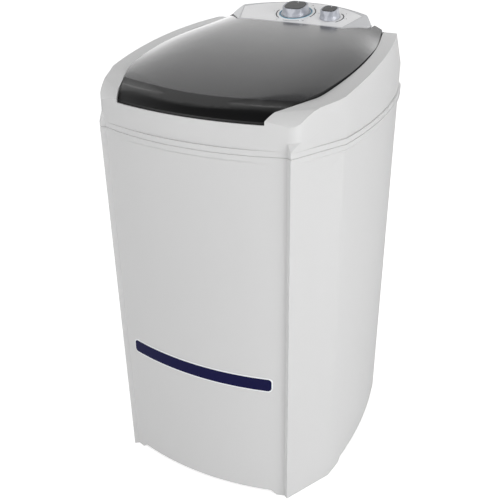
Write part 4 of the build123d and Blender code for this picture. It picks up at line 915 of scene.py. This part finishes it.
def tick_tree():
    """Nodes that set a row of ticks round a circle, in the circle's own frame."""
    tree = bpy.data.node_groups.new("tick_row", "GeometryNodeTree")
    face = tree.interface
    face.new_socket("Geometry", in_out="OUTPUT", socket_type="NodeSocketGeometry")
    count = face.new_socket("Count", in_out="INPUT", socket_type="NodeSocketInt")
    numbers = {}
    for name in ("Radius", "Length", "Width", "Low", "High", "Start", "End"):
        numbers[name] = face.new_socket(name, in_out="INPUT", socket_type="NodeSocketFloat")
    face.new_socket("Material", in_out="INPUT", socket_type="NodeSocketMaterial")
    nodes, links = tree.nodes, tree.links
    source = nodes.new("NodeGroupInput")
    target = nodes.new("NodeGroupOutput")

    def maths(operation, a, b):
        node = nodes.new("ShaderNodeMath")
        node.operation = operation
        for socket, value in zip(node.inputs, (a, b)):
            if isinstance(value, (int, float)):
                socket.default_value = value
            else:
                links.new(value, socket)
        return node.outputs[0]

    line = nodes.new("GeometryNodeMeshLine")
    links.new(source.outputs["Count"], line.inputs["Count"])
    index = nodes.new("GeometryNodeInputIndex")
    last = maths("SUBTRACT", source.outputs["Count"], 1.0)
    sweep = maths("SUBTRACT", source.outputs["End"], source.outputs["Start"])
    share = maths("DIVIDE", index.outputs[0], last)
    angle = maths("ADD", source.outputs["Start"], maths("MULTIPLY", sweep, share))
    place = nodes.new("ShaderNodeCombineXYZ")
    radius = source.outputs["Radius"]
    links.new(maths("MULTIPLY", radius, maths("COSINE", angle, 0.0)), place.inputs[0])
    links.new(maths("MULTIPLY", radius, maths("SINE", angle, 0.0)), place.inputs[1])
    middle = maths("MULTIPLY", maths("ADD", source.outputs["Low"], source.outputs["High"]), 0.5)
    links.new(middle, place.inputs[2])
    spread = nodes.new("GeometryNodeSetPosition")
    links.new(line.outputs[0], spread.inputs["Geometry"])
    links.new(place.outputs[0], spread.inputs["Position"])
    tick = nodes.new("GeometryNodeMeshCube")
    size = nodes.new("ShaderNodeCombineXYZ")
    links.new(source.outputs["Length"], size.inputs[0])
    links.new(source.outputs["Width"], size.inputs[1])
    links.new(maths("SUBTRACT", source.outputs["High"], source.outputs["Low"]), size.inputs[2])
    links.new(size.outputs[0], tick.inputs["Size"])
    turn = nodes.new("ShaderNodeCombineXYZ")
    links.new(angle, turn.inputs[2])
    copies = nodes.new("GeometryNodeInstanceOnPoints")
    links.new(spread.outputs[0], copies.inputs["Points"])
    links.new(tick.outputs[0], copies.inputs["Instance"])
    links.new(turn.outputs[0], copies.inputs["Rotation"])
    real = nodes.new("GeometryNodeRealizeInstances")
    links.new(copies.outputs[0], real.inputs[0])
    ink = nodes.new("GeometryNodeSetMaterial")
    links.new(real.outputs[0], ink.inputs["Geometry"])
    links.new(source.outputs["Material"], ink.inputs["Material"])
    links.new(ink.outputs[0], target.inputs[0])
    names = {"Count": count.identifier}
    names.update({name: socket.identifier for name, socket in numbers.items()})
    names["Material"] = [s.identifier for s in face.items_tree if s.name == "Material"][0]
    return tree, names


def print_ticks(name, place, tree, names, values, ink):
    """A baked row of ticks on the console's face."""
    holder = link(name + "_work", bpy.data.meshes.new(name + "_work"))
    row = holder.modifiers.new("Ticks", "NODES")
    row.node_group = tree
    for key, value in values.items():
        row[names[key]] = value
    row[names["Material"]] = finish_of(ink)
    made = baked(holder, name)
    made.data.transform(place)
    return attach(made, "machine")


def digit_mesh(text, size, height):
    """A number as a thin solid, centred on its own middle."""
    curve = bpy.data.curves.new("digit", "FONT")
    curve.body = text
    curve.size = size
    curve.extrude = height / 2
    curve.align_x = "CENTER"
    curve.align_y = "CENTER"
    curve.resolution_u = DIGIT_STEPS
    work = link("digit_work", curve)
    graph = bpy.context.evaluated_depsgraph_get()
    mesh = bpy.data.meshes.new_from_object(work.evaluated_get(graph))
    bpy.data.objects.remove(work)
    bpy.data.curves.remove(curve)
    return mesh


def print_digits(name, place, radius, marks, size, ink):
    """Upright numbers round a control, each at its angle in degrees."""
    dial = bpy.context.scene.washer_dial
    height = dial.mark_sink + dial.mark_thickness
    lift = (dial.mark_thickness - dial.mark_sink) / 2
    meshes = []
    for text, degrees in marks:
        angle = math.radians(degrees)
        mesh = digit_mesh(text, size, height)
        at = Matrix.Translation((radius * math.cos(angle), radius * math.sin(angle), lift))
        mesh.transform(place @ at)
        meshes.append(mesh)
    made = joined(name, meshes)
    work = bmesh.new()
    work.from_mesh(made.data)
    bmesh.ops.remove_doubles(work, verts=work.verts, dist=DIGIT_MERGE)
    bmesh.ops.recalc_face_normals(work, faces=work.faces)
    work.to_mesh(made.data)
    work.free()
    made.data.materials.append(finish_of(ink))
    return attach(made, "machine")


def pointer_mark(control, length, width, inset):
    """The pale mark on a control's grip, at the end that points up the face."""
    place = control_frame(control + "_turn")
    to_face = place.inverted()
    points = [to_face @ v.co for v in frame["nodes"][control + "_insert"].data.vertices]
    top = max(p.z for p in points)
    end = max(p.y for p in points if p.z > top - POINTER_SINK)
    low, high = top - POINTER_SINK, top + POINTER_RISE
    y1 = end - inset
    y0 = y1 - length
    corners = [(-width / 2, y0), (width / 2, y0), (width / 2, y1), (-width / 2, y1)]
    name = control + "_pointer"
    mesh = bpy.data.meshes.new(name)
    mesh.from_pydata(
        [(x, y, low) for x, y in corners] + [(x, y, high) for x, y in corners],
        [],
        [(3, 2, 1, 0), (4, 5, 6, 7), (0, 1, 5, 4), (1, 2, 6, 5), (2, 3, 7, 6), (3, 0, 4, 7)],
    )
    mesh.transform(place)
    mesh.materials.append(finish_of("print_white"))
    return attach(link(name, mesh), control + "_control")


# Operators, one for each group of pieces
class WASHER_OT_shell(Operator):
    """Dress the cabinet, its trim and its base"""

    bl_idname = "washer.shell"
    bl_label = "Cabinet"

    def execute(self, context):
        edges = context.scene.washer_finish
        dressed("cabinet", "pale_body", edges.shell_edge)
        dressed("base_guard", "grey_plastic")
        dressed("trim_bezel", "trim_silver", edges.small_edge)
        dressed("trim_strip", "navy_trim", edges.small_edge)
        dress_group([("foot_pads", "rubber_black"), ("case_screws", "zinc_steel")])
        return {"FINISHED"}


class WASHER_OT_top(Operator):
    """Dress the top frame, the smoked lid and its small parts"""

    bl_idname = "washer.top"
    bl_label = "Top frame and lid"

    def execute(self, context):
        edges = context.scene.washer_finish
        dressed("top_cover", "pale_body", edges.shell_edge)
        dressed("lid", "smoked_lid", edges.small_edge)
        dress_group([("hinge_pins", "bright_shaft"), ("lid_bumpers", "rubber_black")])
        return {"FINISHED"}


class WASHER_OT_console(Operator):
    """Dress the console, its fascia and the controls"""

    bl_idname = "washer.console"
    bl_label = "Console"

    def execute(self, context):
        edges = context.scene.washer_finish
        dressed("console", "console_grey", edges.small_edge)
        dressed("console_fascia", "fascia_white", edges.small_edge / 2)
        dressed("dial_ring", "dial_blue")
        for control in ("timer", "selector"):
            dressed(control + "_knob", "knob_grey", edges.small_edge)
            dressed(control + "_insert", "knob_dark", edges.small_edge)
            dressed(control + "_switch", "grey_plastic")
            dressed(control + "_spindle", "zinc_steel")
        return {"FINISHED"}


class WASHER_OT_marks(Operator):
    """Print the arcs, ticks and numbers round the controls"""

    bl_idname = "washer.marks"
    bl_label = "Dial marks"

    def execute(self, context):
        dial = context.scene.washer_dial
        timer = control_frame("timer_turn")
        selector = control_frame("selector_turn")
        ring, small = dial.timer_arc_radius, dial.selector_arc_radius
        width = dial.arc_width
        print_arc("timer_arc_left", timer, ring, width, 172, 234, "print_black")
        print_arc("timer_arc_right", timer, ring, width, -22, 46, "print_black")
        low_ring, low_width = ring + LOW_ARC_GAP, width * LOW_ARC_SHARE
        print_arc("timer_arc_low", timer, low_ring, low_width, 256, 302, "print_grey")
        print_arc("selector_arc_low", selector, small, width, -45, 55, "print_black")
        tree, names = tick_tree()
        values = {
            "Count": dial.timer_ticks,
            "Radius": ring + TICK_GAP,
            "Length": dial.tick_length,
            "Width": dial.tick_width,
            "Low": -dial.mark_sink,
            "High": dial.mark_thickness,
            "Start": math.radians(TIMER_START),
            "End": math.radians(TIMER_START - TIMER_SWEEP),
        }
        print_ticks("timer_ticks", timer, tree, names, values, "print_grey")
        values.update(
            {
                "Count": dial.selector_ticks,
                "Radius": small + TICK_GAP,
                "Start": math.radians(SELECTOR_START),
                "End": math.radians(SELECTOR_START - SELECTOR_STEP * (SELECTOR_PLACES - 1)),
            }
        )
        print_ticks("selector_ticks", selector, tree, names, values, "print_grey")
        size = dial.digit_size
        marks = [(str(n), TIMER_START - TIMER_SWEEP * n / TIMER_MINUTES) for n in TIMER_NUMBERS]
        print_digits("timer_numbers", timer, ring + DIGIT_GAP, marks, size, "print_black")
        marks = [(str(n + 1), SELECTOR_START - SELECTOR_STEP * n) for n in range(SELECTOR_PLACES)]
        print_digits("selector_numbers", selector, small + DIGIT_GAP, marks, size, "print_black")
        pointer_mark("timer", length=0.006, width=0.0016, inset=0.002)
        pointer_mark("selector", length=0.0045, width=0.0013, inset=0.0016)
        return {"FINISHED"}


class WASHER_OT_tub(Operator):
    """Dress the wash tub, its drain and the lint filter"""

    bl_idname = "washer.tub"
    bl_label = "Tub"

    def execute(self, context):
        edges = context.scene.washer_finish
        dressed("wash_tub", "tub_white", edges.small_edge)
        rows = [
            ("drain_grille", "grey_plastic"),
            ("filter_guide", "tub_white"),
            ("lint_filter", "agitator_blue"),
        ]
        dress_group(rows)
        return {"FINISHED"}


class WASHER_OT_drive(Operator):
    """Dress the agitator and the parts that turn it"""

    bl_idname = "washer.drive"
    bl_label = "Agitator drive"

    def execute(self, context):
        edges = context.scene.washer_finish
        dressed("agitator", "agitator_blue", edges.small_edge)
        dressed("agitator_cap", "tub_white", edges.small_edge)
        rows = [
            ("agitator_screw", "zinc_steel"),
            ("support_plate", "painted_frame"),
            ("frame_bolts", "zinc_steel"),
            ("frame_nuts", "zinc_steel"),
            ("bearing_housing", "cast_alloy"),
            ("shaft_bushes", "bronze_bush"),
            ("shaft_seal", "rubber_black"),
            ("drive_shaft", "bright_shaft"),
            ("thrust_washer", "bright_shaft"),
            ("shaft_nut", "zinc_steel"),
            ("driven_pulley", "black_plastic"),
            ("drive_belt", "rubber_black"),
        ]
        dress_group(rows)
        return {"FINISHED"}


class WASHER_OT_motor(Operator):
    """Dress the motor, its capacitor and its mounts"""

    bl_idname = "washer.motor"
    bl_label = "Motor"

    def execute(self, context):
        rows = [
            ("motor_housing", "painted_frame"),
            ("motor_end_caps", "cast_alloy"),
            ("stator_core", "core_steel"),
            ("windings", "copper_wire"),
            ("rotor", "core_steel"),
            ("motor_shaft", "bright_shaft"),
            ("motor_bearings", "bright_shaft"),
            ("motor_fan", "black_plastic"),
            ("motor_pulley", "cast_alloy"),
            ("rubber_mounts", "rubber_black"),
            ("capacitor", "grey_plastic"),
            ("capacitor_clip", "zinc_steel"),
        ]
        dress_group(rows)
        return {"FINISHED"}


class WASHER_OT_plumbing(Operator):
    """Dress the water paths and the wiring"""

    bl_idname = "washer.plumbing"
    bl_label = "Water and wiring"

    def execute(self, context):
        rows = [
            ("drain_cup", "grey_plastic"),
            ("drain_hose", "rubber_black"),
            ("hose_clamps", "zinc_steel"),
            ("drain_outlet", "grey_plastic"),
            ("cable_gland", "black_plastic"),
            ("water_inlet", "tub_white"),
            ("inlet_pipe", "tub_white"),
            ("wiring_loom", "braided_black"),
            ("loom_clips", "grey_plastic"),
        ]
        dress_group(rows)
        return {"FINISHED"}


# Studio
def floor_material():
    """White floor that keeps a faint shadow and reads as white to the camera."""
    tree = ShaderTree("studio_floor")
    cloud = tree.noise(tree.place(), 2.0, 2.0)
    pale = tree.mix(cloud, (0.80, 0.80, 0.80, 1.0), (0.82, 0.82, 0.82, 1.0))
    paper = tree.surface(Base_Color=pale, Roughness=0.9)
    glow = tree.add("ShaderNodeEmission", None, {"Color": (1.0, 1.0, 1.0, 1.0), "Strength": 0.75})
    both = tree.add("ShaderNodeAddShader", None, {0: paper, 1: glow})
    seen = tree.add("ShaderNodeLightPath", None, None, "Is Camera Ray")
    shader = tree.add("ShaderNodeMixShader", None, {0: seen, 1: paper, 2: both})
    return tree.finish(shader)


def studio_world():
    """White to the camera, a bright horizon under a darker sky to reflections, grey to all else."""
    world = bpy.data.worlds.new("studio")
    world.use_nodes = True
    nodes, links = world.node_tree.nodes, world.node_tree.links
    nodes.clear()

    def join(kind, settings, *inputs):
        node = nodes.new(kind)
        for key, value in settings.items():
            setattr(node, key, value)
        for socket, value in zip(node.inputs, inputs):
            if isinstance(value, (int, float, tuple)):
                socket.default_value = value
            else:
                links.new(value, socket)
        return node

    white = (1.0, 1.0, 1.0, 1.0)
    path = nodes.new("ShaderNodeLightPath")
    way = nodes.new("ShaderNodeTexCoord")
    height = join("ShaderNodeSeparateXYZ", {}, way.outputs["Generated"]).outputs[2]
    smooth = {"interpolation_type": "SMOOTHSTEP"}
    low = join("ShaderNodeMapRange", smooth, height, 0.05, 0.76, 1.6, 0.46)
    high = join("ShaderNodeMapRange", smooth, height, 0.58, 0.84, 1.0, 0.12)
    sky = join("ShaderNodeMath", {"operation": "MULTIPLY"}, low.outputs[0], high.outputs[0])
    mirrored = join("ShaderNodeBackground", {}, white, sky.outputs[0])
    seen = join("ShaderNodeBackground", {}, white, 1.0)
    plain = join("ShaderNodeBackground", {}, white, PLAIN_LIGHT)
    glossy = path.outputs["Is Glossy Ray"]
    by_gloss = join("ShaderNodeMixShader", {}, glossy, plain.outputs[0], mirrored.outputs[0])
    camera, clear = path.outputs["Is Camera Ray"], path.outputs["Is Transmission Ray"]
    through = join("ShaderNodeMath", {"operation": "MAXIMUM"}, camera, clear)
    shaders = by_gloss.outputs[0], seen.outputs[0]
    whole = join("ShaderNodeMixShader", {}, through.outputs[0], *shaders)
    join("ShaderNodeOutputWorld", {}, whole.outputs[0])
    return world


def lamp(name, place, target, size, power):
    """A square soft light that faces a point."""
    light = bpy.data.lights.new(name, "AREA")
    light.shape = "SQUARE"
    light.size = size
    light.energy = power
    made = bpy.data.objects.new(name, light)
    bpy.context.scene.collection.objects.link(made)
    made.location = place
    aim = Vector(target) - Vector(place)
    made.rotation_euler = aim.to_track_quat("-Z", "Y").to_euler()
    made.visible_camera = False
    return made


class WASHER_OT_stage(Operator):
    """Set the floor, the light and the camera"""

    bl_idname = "washer.stage"
    bl_label = "Studio"

    def execute(self, context):
        scene = context.scene
        studio = scene.washer_studio
        half = studio.floor_size / 2
        mesh = bpy.data.meshes.new("floor")
        square = [(-half, -half, 0.0), (half, -half, 0.0), (half, half, 0.0), (-half, half, 0.0)]
        mesh.from_pydata(square, [], [(0, 1, 2, 3)])
        mesh.materials.append(floor_material())
        ground = link("floor", mesh)
        ground.location.z = -FLOOR_GAP
        lights = [
            lamp("light_right", (3.4, -1.0, 1.1), LAMP_AIM, 2.2, 68.0),
            lamp("light_front", (-1.6, -3.6, 1.3), LAMP_AIM, 2.4, 48.0),
            lamp("light_above", (0.2, 0.2, 3.6), LAMP_AIM, 2.6, 12.0),
        ]
        lights[-1].visible_glossy = False
        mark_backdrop(ground, *lights)
        scene.world = studio_world()
        camera_data = bpy.data.cameras.new("camera")
        camera_data.sensor_fit = "HORIZONTAL"
        camera_data.sensor_width = 36.0
        camera_data.lens = studio.camera_lens
        camera_data.clip_start = 0.05
        camera_data.clip_end = 100.0
        camera = bpy.data.objects.new("camera", camera_data)
        scene.collection.objects.link(camera)
        turn, tip = studio.camera_azimuth, studio.camera_elevation
        forward = Vector(
            (-math.sin(turn) * math.cos(tip), math.cos(turn) * math.cos(tip), -math.sin(tip))
        )
        camera.location = studio.camera_place
        camera.rotation_mode = "QUATERNION"
        camera.rotation_quaternion = forward.to_track_quat("-Z", "Y")
        scene.camera = camera
        camera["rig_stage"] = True
        scene.view_settings.view_transform = "Standard"
        return {"FINISHED"}


class WASHER_PT_panel(Panel):
    """Buttons and settings of the washing machine"""

    bl_idname = "WASHER_PT_panel"
    bl_label = "Washing machine"
    bl_space_type = "VIEW_3D"
    bl_region_type = "UI"
    bl_category = "Washer"

    def draw(self, context):
        layout = self.layout
        for group in SETTINGS:
            box = layout.box()
            values = getattr(context.scene, group)
            for name in values.bl_rna.properties.keys():
                if name not in ("rna_type", "name"):
                    box.prop(values, name)
        for step in STEPS:
            layout.operator(step.bl_idname)


STEPS = (
    WASHER_OT_shell,
    WASHER_OT_top,
    WASHER_OT_console,
    WASHER_OT_marks,
    WASHER_OT_tub,
    WASHER_OT_drive,
    WASHER_OT_motor,
    WASHER_OT_plumbing,
    WASHER_OT_stage,
)

SETTINGS = {
    "washer_finish": FinishSettings,
    "washer_dial": DialSettings,
    "washer_studio": StudioSettings,
}


def register():
    for group in SETTINGS.values():
        bpy.utils.register_class(group)
    for name, group in SETTINGS.items():
        setattr(bpy.types.Scene, name, PointerProperty(type=group))
    for step in STEPS:
        bpy.utils.register_class(step)
    bpy.utils.register_class(WASHER_PT_panel)


def unregister():
    bpy.utils.unregister_class(WASHER_PT_panel)
    for step in reversed(STEPS):
        bpy.utils.unregister_class(step)
    for name in SETTINGS:
        delattr(bpy.types.Scene, name)
    for group in reversed(list(SETTINGS.values())):
        bpy.utils.unregister_class(group)


def corners():
    low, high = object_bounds()
    return [list(low), list(high)]


def main():
    register()
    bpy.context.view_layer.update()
    bpy.ops.washer.shell()
    bpy.ops.washer.top()
    bpy.ops.washer.console()
    bpy.ops.washer.marks()
    bpy.ops.washer.tub()
    bpy.ops.washer.drive()
    bpy.ops.washer.motor()
    bpy.ops.washer.plumbing()
    bpy.ops.washer.stage()


if __name__ == "__main__":
    main()
